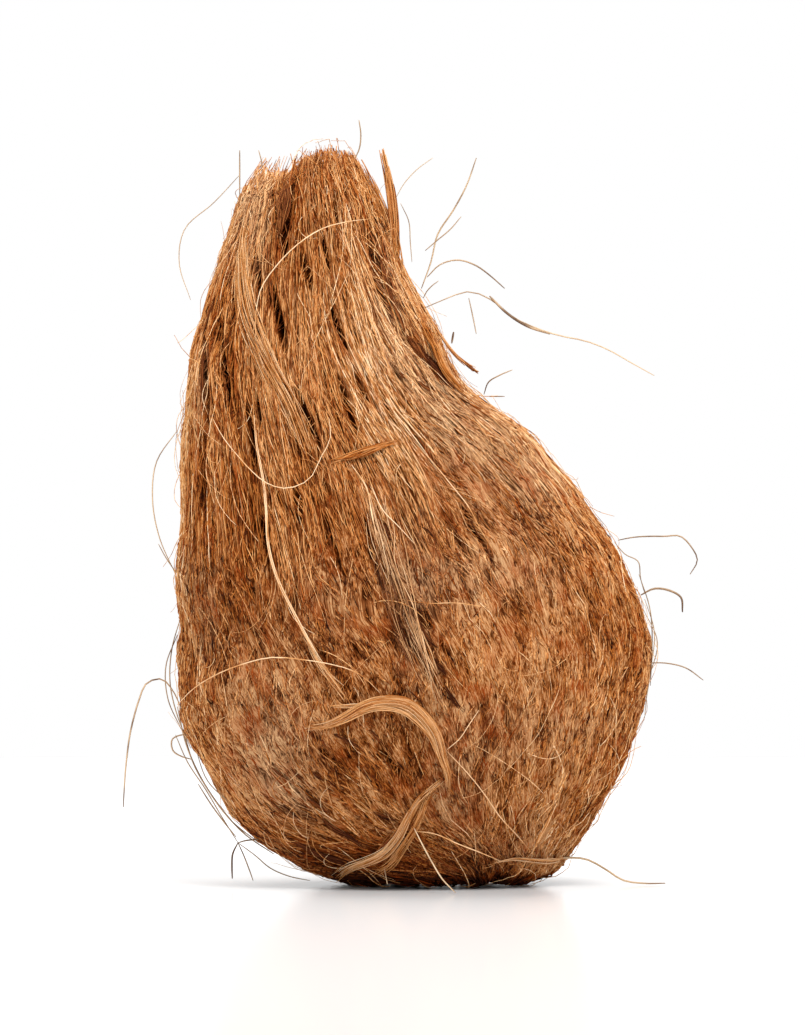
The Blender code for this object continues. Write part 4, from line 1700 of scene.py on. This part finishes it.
# Hairs that stand free of the coconut: course, y at start, middle and end, thickness, tone.
# They bleach the most.
AIR_HAIRS = (
    # off the tuft's left and top
    (((-46, 187.5), (-53.5, 179.5), (-62.5, 170.5), (-61, 161), (-59, 154.5)), (0, 6, 0), 0.35, 0.6),
    (((-46, 182), (-46, 187), (-46, 194)), (-2, -2, -3), 0.43, 0.5),
    (((-41, 184), (-40, 189), (-41, 194)), (-6, -7, -9), 0.36, 0.5),
    (((-16, 191), (-14, 196), (-14.5, 202)), (-4, -5, -8), 0.36, 0.5),
    (((-62.5, 120), (-67, 115), (-69, 104.5), (-68, 94), (-63, 82)), (0, -6, 0), 0.35, 0.6),
    (((-67.5, 90), (-65, 85.5), (-62, 81.5)), (-10, -5, 0), 0.35, 0.55),
    # off the lower left
    (((-61.5, 46.5), (-63, 49.5), (-64.5, 53), (-67.5, 54.5), (-70, 54), (-72, 50.5), (-73.5, 46),
      (-75, 40), (-76, 32.5), (-76.5, 26.5), (-76.8, 20.5)), (-4, -35, -58), 0.5, 0.5),
    (((-58.5, 39.5), (-61.5, 39.5), (-63.5, 39), (-64, 37), (-63, 34.5), (-58.5, 33)), (0, -3, 0), 0.41,
     0.5),
    (((-61.5, 71), (-64, 62), (-64.5, 54), (-63, 46), (-59, 36)), (-2, -2, -2), 0.37, 0.5),
    (((-62.5, 66), (-65.5, 58), (-65, 49), (-61.5, 41)), (6, 6, 4), 0.37, 0.5),
    (((-58, 37), (-54, 26.5), (-47, 20.5), (-38.5, 14)), (-3, -6, -6), 0.44, 0.5),
    (((-63, 39.5), (-62.5, 35.5), (-58, 30), (-53, 21.5), (-46.5, 11)), (0, -4, -10), 0.48, 0.5),
    (((-57, 26.5), (-52.5, 19.5), (-47, 12.5)), (0, -6, -10), 0.43, 0.5),
    (((-62.5, 47), (-60.5, 38), (-57, 29.5), (-52, 21.5), (-45, 13.5), (-37, 8)), (-2, -5, -6), 0.48,
     0.5),
    (((-61, 41), (-58.3, 32), (-54, 24.3), (-47.5, 16), (-41, 11)), (2, 2, 2), 0.38, 0.5),
    (((-40, 12), (-45, 11.5), (-46.5, 11)), (-6, -9, -10), 0.48, 0.5),
    (((-46.5, 11), (-48, 7.5), (-48, 1.5)), (-10, -11, -12), 0.49, 0.5),
    (((-46.5, 11), (-44.5, 6.5), (-42.5, 1)), (-10, -9, -9), 0.44, 0.5),
    (((-46.5, 11), (-43, 8.5), (-37.5, 4), (-32.5, 2), (-27.5, 1)), (-10, -8, -12), 0.41, 0.5),
    # off the tuft's right
    (((-5, 181), (-2, 186), (1.5, 189.5), (5, 192)), (-4, -6, -10), 0.35, 0.6),
    (((-3.5, 180), (-1.5, 176), (-1, 170.5), (-0.5, 164.5)), (-5, -6, -6), 0.35, 0.6),
    (((2, 157.5), (4, 161.5), (5.5, 170), (9, 176), (13, 182.5), (16.5, 192)), (-5, -10, -20), 0.43, 0.65),
    (((3, 167.5), (6.5, 170.5), (9.5, 173), (12.5, 176.5)), (-8, -12, -14), 0.52, 0.5),
    (((3.5, 160.5), (5.5, 163), (10.5, 165), (15.5, 164), (20, 161), (24, 157.5)), (-4, -10, -14), 0.46,
     0.5),
    (((2, 152), (6.5, 153.5), (10.5, 156), (17, 156.5), (22.5, 153), (27.5, 149), (32.5, 147),
      (40.5, 144.5), (48, 143), (54.5, 139.5), (63.5, 134.5)), (-6, -14, -24), 0.5, 0.65),
    (((20, 155.5), (24, 151.5), (29, 148), (36, 145.5)), (-11, -14, -17), 0.72, 0.5),
    (((2.5, 155), (4, 157.5), (6.5, 159.5)), (-5, -8, -10), 0.46, 0.45),
    (((14.5, 155), (15.5, 150.5), (16.5, 145.5)), (-8, -10, -12), 0.41, 0.5),
    (((10, 143), (10.5, 146)), (-10, -11, -12), 0.58, 0.38),
    (((18.5, 129.5), (19.5, 132.5), (22.5, 134.5), (26, 136)), (-6, -9, -12), 0.43, 0.5),
    (((20, 129), (24, 129)), (-8, -9, -10), 0.41, 0.5),
    # off the nut's right
    (((54, 91), (56, 91.5), (61, 92), (68.5, 92), (70.5, 92), (73.5, 89), (75, 86), (73, 82)),
     (0, -14, -24), 0.52, 0.45),
    (((53, 90.5), (55.5, 87.5), (59, 86), (60, 80.5), (61, 77)), (0, -3, 0), 0.43, 0.5),
    (((60, 76.5), (62.5, 78), (66.5, 78), (70.5, 76), (71, 72)), (0, -6, -10), 0.58, 0.4),
    (((59.5, 82), (62, 75.5), (63, 64.5), (62.5, 52.5)), (0, -2, 0), 0.37, 0.55),
    (((61, 75.5), (63.5, 67.5), (63, 59.5), (61.5, 49)), (4, 4, 2), 0.37, 0.55),
    (((60.5, 73), (64.5, 66), (62.5, 57), (61, 44)), (-5, -5, -2), 0.37, 0.55),
    (((61, 58.5), (66.5, 58.5), (70.5, 58), (76.5, 54)), (-2, -14, -26), 0.58, 0.43),
    # along the floor
    (((23, 6.5), (29, 6.5), (36.5, 7), (41, 7), (46, 6.5), (51.5, 3.5), (55.5, 1), (60, 0.3),
      (66.5, 0.3)), (-14, -6, -2), 0.54, 0.6),
    (((0, 15), (2, 11), (5, 5.5), (8.5, 0), (11, -2.5)), (-44, -46, -50), 0.41, 0.75),
    (((-8, 5.5), (-7, 0)), (-30, -32, -34), 0.43, 0.7),
)


@dataclass(frozen=True)
class LooseCut:
    """One kind of loose strand. Lengths in millimetres.

    Attributes:
        count: How many.
        reach: Shortest and longest.
        rise: Least and most height off the mat.
        free: Whether the far end stands free.
        low: Where the lowest are, along the piece.
        bend: How much they bend on their way, in radians.
    """

    count: int
    reach: Pair
    rise: Pair
    free: bool
    low: float = 0.1
    bend: float = 1.1


@dataclass
class LooseCoir:
    """Loose coir all round.

    Attributes:
        form: The coconut's form.
        material: The strands' finish.
        steps: Points of each strand.
    """

    form: CoconutForm
    material: Material
    steps: int = 10

    CUTS = (
        LooseCut(520, (8, 32), (0.8, 2.2), False),  # arches whose ends are tucked in
        LooseCut(110, (4, 16), (1.0, 6.0), True),  # whiskers with a free tip
        LooseCut(300, (2, 6), (0.4, 1.2), True, 0.9, 0.4),  # frizz round the tuft's end
    )
    LEAN_SPREAD, BEND_MIDDLE = 0.5, 0.4  # in radians, and the share of the way where none bends
    HIGHEST, REACHED = 0.97, (0.06, 1.01)  # where the topmost start, and where all keep between
    LIFT_POWER, TUCK = 1.6, 0.4  # how a free end lifts, and how deep the other is tucked, in mm
    RADIUS, TIP = (0.08, 0.15), 0.5  # in mm, and the tip's share of it
    TONE, TONE_SPREAD, MOST_GREY = 0.74, 0.12, 0.4

    def grow(self, cut: LooseCut, strands: Strands, rng: np.random.Generator) -> None:
        """Adds one kind of loose strand.

        Args:
            cut: The kind.
            strands: Where they are gathered.
            rng: The random draws.
        """
        form, column = self.form, (cut.count, 1)
        t = np.linspace(0.0, 1.0, self.steps)
        step = rng.uniform(*cut.reach, column) * MM / self.steps
        lean = rng.normal(0, self.LEAN_SPREAD, column)
        lean = lean + rng.normal(0, cut.bend, column) * (t - self.BEND_MIDDLE)
        lean = lean + rng.choice((0.0, math.pi), column)
        s = rng.uniform(cut.low, self.HIGHEST, column)
        turn = rng.uniform(0, 1, column) + np.cumsum(np.sin(lean) * step, 1) / form.girth(s)
        s = np.clip(s + np.cumsum(np.cos(lean) * step, 1) / form.length, *self.REACHED)
        shape = t**self.LIFT_POWER if cut.free else np.sin(math.pi * t)
        lift = rng.uniform(*cut.rise, column) * shape - self.TUCK
        path, outward = form.place(s, turn, lift * MM)
        radius = rng.uniform(*self.RADIUS, column) * MM * (1.0 - (1.0 - self.TIP) * t)
        tone = rng.normal(self.TONE, self.TONE_SPREAD, cut.count)
        grey = rng.uniform(0, self.MOST_GREY, cut.count)
        strands.add(path, outward, radius, (tone, grey, np.zeros(1)))

    def build(self) -> list[Object]:
        """Makes the loose coir one piece and returns it in a list."""
        rng = np.random.default_rng(505)
        strands = Strands()
        for cut in self.CUTS:
            self.grow(cut, strands, rng)
        return [strands.build("loose_coir", self.material)]


# ---- Studio ----


@dataclass
class Studio:
    """A pale floor, soft lights and the camera.

    Attributes:
        target: The point that the camera looks at.
        frame_height: Metres that the picture's height covers at the target.
        lens: In millimetres, on the long side of the sensor.
        sensor: The sensor's long side, in millimetres.
        elevation: Degrees above the horizon.
        surround: How strongly the white surround lights the piece.
        floor_radius: In metres.
        floor_drop: How far the floor lies below the flat spot, in metres.
    """

    target: Vector
    frame_height: float = 0.2735
    lens: float = 420.0
    sensor: float = 36.0
    elevation: float = 1.0
    surround: float = 0.8
    floor_radius: float = 0.9
    floor_drop: float = 0.1 * MM

    # Name, metres from the target, side in metres and power in watts
    SOFTBOXES = (
        ("key_softbox", (0.3, -0.8, 0.95), 0.6, 18.5),  # from the front, high on the right
        ("fill_softbox", (-0.9, -0.6, 0.25), 0.8, 3.0),  # weaker, low on the left
        ("top_softbox", (-0.15, 0.45, 1.0), 1.0, 12.0),  # from above and behind
    )

    def eye(self) -> Vector:
        """Gives where the camera stands."""
        away = self.frame_height * self.lens / self.sensor
        tilt = math.radians(self.elevation)
        return self.target + Vector((0.0, -math.cos(tilt) * away, math.sin(tilt) * away))

    def stand(self, data: Camera | Light, place: Vector, facing: Vector) -> Object:
        """Stands the camera or a light at a place, facing the given way, and returns it."""
        made = bpy.data.objects.new(data.name, data)
        bpy.context.scene.collection.objects.link(made)
        made.location = place
        made.rotation_euler = facing.to_track_quat("-Z", "Y").to_euler()
        return made

    def camera(self) -> None:
        """Makes the camera and sets how colours are shown."""
        data = bpy.data.cameras.new("camera")
        data.lens = self.lens
        data.sensor_width = self.sensor
        data.clip_start = 0.01
        data.clip_end = 50.0
        bpy.context.scene.camera = self.stand(data, self.eye(), self.target - self.eye())
        bpy.context.scene.view_settings.view_transform = "Standard"
        bpy.context.scene.view_settings.look = "None"

    def softbox(self, name: str, place: Vector, size: float, power: float) -> None:
        """Adds a square soft light that faces the target.

        Args:
            name: The light's name.
            place: Where it stands, in metres from the target.
            size: Its side, in metres.
            power: In watts.
        """
        data = bpy.data.lights.new(name, "AREA")
        data.shape = "SQUARE"
        data.size = size
        data.energy = power
        self.stand(data, self.target + place, -place)

    def white_surround(self) -> None:
        """Makes a white surround that the camera sees as plain white and that lights softly."""
        world = bpy.data.worlds.new("white_surround")
        bpy.context.scene.world = world
        world.use_nodes = True
        tree = world.node_tree
        tree.nodes.clear()
        white = (1.0, 1.0, 1.0, 1.0)
        path = add_node(tree, "LightPath")
        soft = add_node(tree, "Background", None, {"Color": white, "Strength": self.surround})
        seen = add_node(tree, "Background", None, {"Color": white, "Strength": 1.0})
        links = {0: path.outputs["Is Camera Ray"], 1: soft.outputs[0], 2: seen.outputs[0]}
        mix = add_node(tree, "MixShader", links=links)
        add_node(tree, "OutputWorld", links={"Surface": mix.outputs[0]})

    def floor(self) -> None:
        """Lays a plain, round floor of pale card, a hair's breadth below the flat spot."""
        place = (0.0, 0.0, -self.floor_drop)
        bpy.ops.mesh.primitive_circle_add(
            vertices=96, radius=self.floor_radius, fill_type="NGON", location=place
        )
        made = bpy.context.active_object
        made.name = "floor"
        made.data.materials.append(SatinCard().material())

    def build(self) -> None:
        """Sets up the whole studio."""
        self.camera()
        self.floor()
        self.white_surround()
        for name, place, size, power in self.SOFTBOXES:
            self.softbox(name, Vector(place), size, power)


# ---- The whole coconut ----

NUT_CUTS = (
    StrandCut(3400, 3, False, (1.5, 5.5), (0.15, 0.28), 0.4, 0.0, (-0.35, -0.15), 0.1, (0.62, 0.08)),
    StrandCut(1500, 4, False, (5, 13), (0.1, 0.2), 0.28, 0.2, (-0.35, 0.0), 0.2, (0.63, 0.08)),
    StrandCut(300, 7, False, (14, 32), (0.09, 0.15), 0.16, 0.25, (-0.3, 0.1), 0.5, (0.71, 0.08)),
    # short dark strands: painted shade between the fibres
    StrandCut(1500, 3, False, (1.5, 4.5), (0.14, 0.26), 0.26, 0.0, (-0.25, -0.05), 0.15, (0.36, 0.09), 0.8),
)
TUFT_CUTS = (
    StrandCut(320, 16, True, (40, 100), (0.12, 0.2), 0.04, 0.1, (-0.3, 0.15), 0.6, (0.74, 0.07)),
    StrandCut(1450, 7, True, (10, 34), (0.12, 0.2), 0.12, 0.15, (-0.4, 0.15), 0.4, (0.72, 0.05)),
    StrandCut(2600, 4, True, (3, 9), (0.12, 0.22), 0.28, 0.2, (-0.4, 0.1), 0.25, (0.71, 0.06)),
)

# Gaps in the tuft's front and the crease down the nut: line, half width and depth
FRONT_PARTINGS = (
    # between the tuft's left and main bunches
    (((-32.5, 187), (-34, 180), (-34.5, 173.5)), 1.2, 2.2),
    (((-35.5, 174), (-34.5, 167)), 1, 2.5),
    # in the main bunch
    (((-38, 156.5), (-36.8, 150), (-34.3, 143)), 1.1, 5),
    (((-24, 173), (-22, 164.5)), 0.8, 3.5),
    (((-29, 165), (-27, 159.5)), 1.1, 2.5),
    (((-26, 194), (-25.5, 190)), 0.8, 3),
    (((-20, 181), (-19.5, 175)), 0.6, 2.5),
    (((-17, 184), (-16.5, 179)), 0.5, 2.5),
    (((-21.5, 153), (-17.5, 143.5)), 0.8, 4),
    (((-42.5, 165), (-42, 156.5)), 0.7, 3),
    (((-50, 163), (-49, 156.5)), 0.7, 3),
    (((-19.5, 134), (-15, 121)), 0.8, 3),
    (((-14.5, 135), (-11.5, 129)), 0.8, 3),
    (((-8, 130.5), (-5, 123.5)), 0.8, 2.5),
    # down the left side
    (((-56.5, 143), (-55.5, 122.5)), 0.9, 4),
    (((-52.2, 147), (-50.7, 127)), 1.2, 4.5),
    (((-57, 118), (-56.5, 100)), 1, 4),
    (((-60.5, 123), (-58.5, 101.5)), 0.4, 1),
    (((-42.5, 128.5), (-41.5, 121)), 0.7, 3),
    (((-45.5, 126.5), (-43, 112)), 0.7, 2.5),
    (((-30.5, 129), (-25.5, 117)), 0.8, 3),
    (((-41, 96), (-40.5, 90)), 1, 2.5),
    (((-31.5, 105.5), (-31, 96)), 1.4, 1.2),
    # under the strap on the tuft's right
    (((-10.5, 171), (-9, 166)), 1.1, 2.2),
    (((-9.5, 165.5), (-7.5, 158), (-5.5, 152)), 1.1, 1.6),
    (((-3, 151.5), (-0.5, 144)), 0.9, 3),
    (((1, 145), (5, 141), (9, 137), (12.5, 133.5)), 1.6, 2.5),
    (((4.5, 134), (6, 130.5)), 1.4, 2.5),
    (((-4, 137.5), (-1, 132.5)), 0.7, 3),
    # the crease down the nut
    (((-12.5, 95), (-11, 86)), 0.45, 2),
    (((-9.5, 99), (-5.5, 90)), 0.5, 2),
    (((8.5, 99), (14, 87)), 0.5, 1.6),
    (((14, 99), (20, 87)), 0.7, 2.2),
    (((-23.5, 97), (-18.5, 79.5)), 0.5, 1.6),
    (((0.5, 75), (8.5, 61.5)), 0.5, 1),
    (((-5.5, 75), (1.5, 59)), 0.4, 0.8),
    (((4, 64.5), (10, 46.5)), 0.5, 1),
    # above and below the low wisp
    (((-9, 35), (-2, 27)), 0.9, 1),
    (((-30, 15), (-14, 8)), 1, 2),
    (((-34, 9), (-20, 5)), 0.9, 2.5),
)

# The same on the back, where x is still +X to the right as seen from the front
BACK_PARTINGS = (
    (((-30, 186), (-31, 173)), 1.1, 2.5),
    (((-22, 170), (-23, 154)), 1, 4),
    (((-42, 165), (-43, 149)), 1, 4),
    (((-12, 160), (-9, 147)), 0.9, 3.5),
    (((-34, 147), (-34, 129)), 1, 3.5),
    (((-50, 140), (-51, 120)), 1, 4),
    (((-17, 140), (-13, 126)), 0.8, 3),
    (((-25, 126), (-23, 113)), 0.8, 3),
    (((-42, 122), (-41, 105)), 0.8, 3),
    (((-2, 134), (4, 124)), 0.7, 2.5),
    (((-8, 115), (-3, 102)), 0.6, 2),
    (((-56, 104), (-56, 89)), 0.8, 2.5),
    (((11, 108), (17, 95)), 0.5, 1.6),
)
BACK_STREAKS = (
    (((-22, 101), (-20, 90)), 0.8, 0.16),
    (((-12, 88), (-9, 79)), 0.6, 0.18),
    (((-16, 45), (-11, 39)), 0.9, 0.16),
    (((24, 50), (28, 43)), 0.8, 0.18),
    (((4, 66), (9, 58)), 0.7, 0.18),
    (((20, 23), (28, 17)), 1.2, 0.14),
    (((2, 17), (12, 13)), 1.3, 0.12),
    (((-32, 21), (-25, 14.5)), 1.4, 0.12),
    (((-18, 12), (-8, 8.5)), 1.6, 0.1),
)
BACK_COIR = (
    # a pale lock down the tuft, a short wisp at its foot and a curled wisp on the nut
    Wisp(((-27, 184), (-26, 167), (-21, 150), (-13, 133)), (-0.35, 0, -0.35), (3, 5.2, 4.4), 48,
         0.24, 0.78, fray=1),
    Wisp(((-44, 110), (-38, 107), (-31, 108)), (0.2, 0.8, 0.3), (0.7, 1.8, 0.9), 22, 0.26, 0.62),
    Wisp(((36, 53), (29.5, 51.5), (24, 46), (21.5, 38), (23, 30), (27, 24)), (0.5, 1.8, 0.6),
         (0.6, 2, 0.9), 36, 0.24, 0.68),
    # long loose hairs
    Wisp(((-48, 131), (-44, 113), (-38, 96), (-34, 80)), (0.6, 1, 0.5), (0.3, 0.7, 0.6), 4, 0.34,
         0.88),
    Wisp(((27, 104), (25, 90), (19, 77), (9, 67), (5, 55)), (0.5, 2.2, 0.6), thick=0.32, tone=0.92),
    Wisp(((-52, 72), (-48, 56), (-40, 44), (-28, 36), (-23, 24)), (0.5, 2.4, 0.6), thick=0.32,
         tone=0.9),
    Wisp(((44, 72), (41, 52), (31, 35), (17, 25)), (0.5, 1.8, 0.5), thick=0.34, tone=0.86),
    Wisp(((-5, 152), (-12, 139), (-15, 125), (-25, 114)), (0.5, 2.6, 0.6), thick=0.34, tone=0.92),
    Wisp(((12, 30), (17, 19), (24, 9)), (0.5, 1.4, 0.5), thick=0.32, tone=0.84),
    Wisp(((-30, 24), (-20, 17), (-8, 12)), (0.5, 1.5, 0.5), thick=0.32, tone=0.84),
)


def shade_streak_wisps(streaks: Streaks) -> tuple[Wisp, ...]:
    """Makes dark strands, which lie level with the mat, as painted shade in its gaps.

    Args:
        streaks: The course, widest width and tone of each streak.

    Returns:
        The streaks' wisps.
    """
    per_mm, end = 13, 0.2  # strands in each millimetre of width, and how narrow the ends are
    heights, looks = (-0.25, 0.0, -0.25), {"thick": 0.24, "grey": 0.15, "fray": 0.3}
    return tuple(
        Wisp(points, heights, (end * wide, wide, end * wide), round(per_mm * wide), tone=tone, **looks)
        for points, wide, tone in streaks
    )


def main() -> None:
    """Builds the coconut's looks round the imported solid."""
    logging.basicConfig(level=logging.INFO, format="%(name)s: %(message)s")
    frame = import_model()
    LOG.info("loaded %s", frame)
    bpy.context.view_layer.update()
    form = CoconutForm(*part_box(CAD_NODE))
    studio = Studio(Vector((-3.0 * MM, 0.0, 97.0 * MM)))
    studio.build()
    eye = np.array(studio.eye())
    sight, behind = Sight(form, eye), Sight(form, eye * (1.0, -1.0, 1.0))
    form.partings += [sight.parting(*parting) for parting in FRONT_PARTINGS]
    form.partings += [behind.parting(*parting) for parting in BACK_PARTINGS]
    fibre = CoirFibre().material()
    bleached = BleachedCoir().material()

    colour = CoirColour(form)
    core = FeltedCore(form, colour, CoirMat().material()).build()
    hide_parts(CAD_NODE)
    pieces = [core]
    pieces += LaidCoir(form, colour, fibre, "nut_coir", 101, 3, NUT_CUTS).build()
    pieces += LaidCoir(form, colour, fibre, "tuft_coir", 202, 2, TUFT_CUTS).build()
    pieces += CutEnds(form, fibre).build()
    # dark strands as painted shade in the front's gaps
    shade_streaks = shade_streak_wisps(DARK_STREAKS)
    pieces += PlacedCoir(form, sight, fibre, "shade_streak_coir", shade_streaks, 9, uneven=0.12).build()
    pieces += PlacedCoir(form, sight, fibre, "front_wisps", FRONT_WISPS).build()
    air_hairs = tuple(
        Wisp(points, depths, thick=thick, tone=tone, grey=0.8, course=Course.FREE)
        for points, depths, thick, tone in AIR_HAIRS
    )
    pieces += PlacedCoir(form, sight, fibre, "front_hairs", FRONT_HAIRS).build()
    pieces += PlacedCoir(form, sight, bleached, "air_hairs", air_hairs).build()
    # dark strands as painted shade in the back's gaps
    shade_streaks = shade_streak_wisps(BACK_STREAKS)
    pieces += PlacedCoir(form, behind, fibre, "shade_streak_back", shade_streaks, 9, uneven=0.12).build()
    pieces += PlacedCoir(form, behind, fibre, "back_coir", BACK_COIR, 14).build()
    pieces += LooseCoir(form, fibre).build()
    total = 0
    for piece in pieces:
        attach(piece, CAD_BODY)
        piece.data.calc_loop_triangles()
        total += len(piece.data.loop_triangles)
        LOG.info("%s: %d triangles", piece.name, len(piece.data.loop_triangles))
    LOG.info("%d triangles in all", total)


if __name__ == "__main__":
    main()
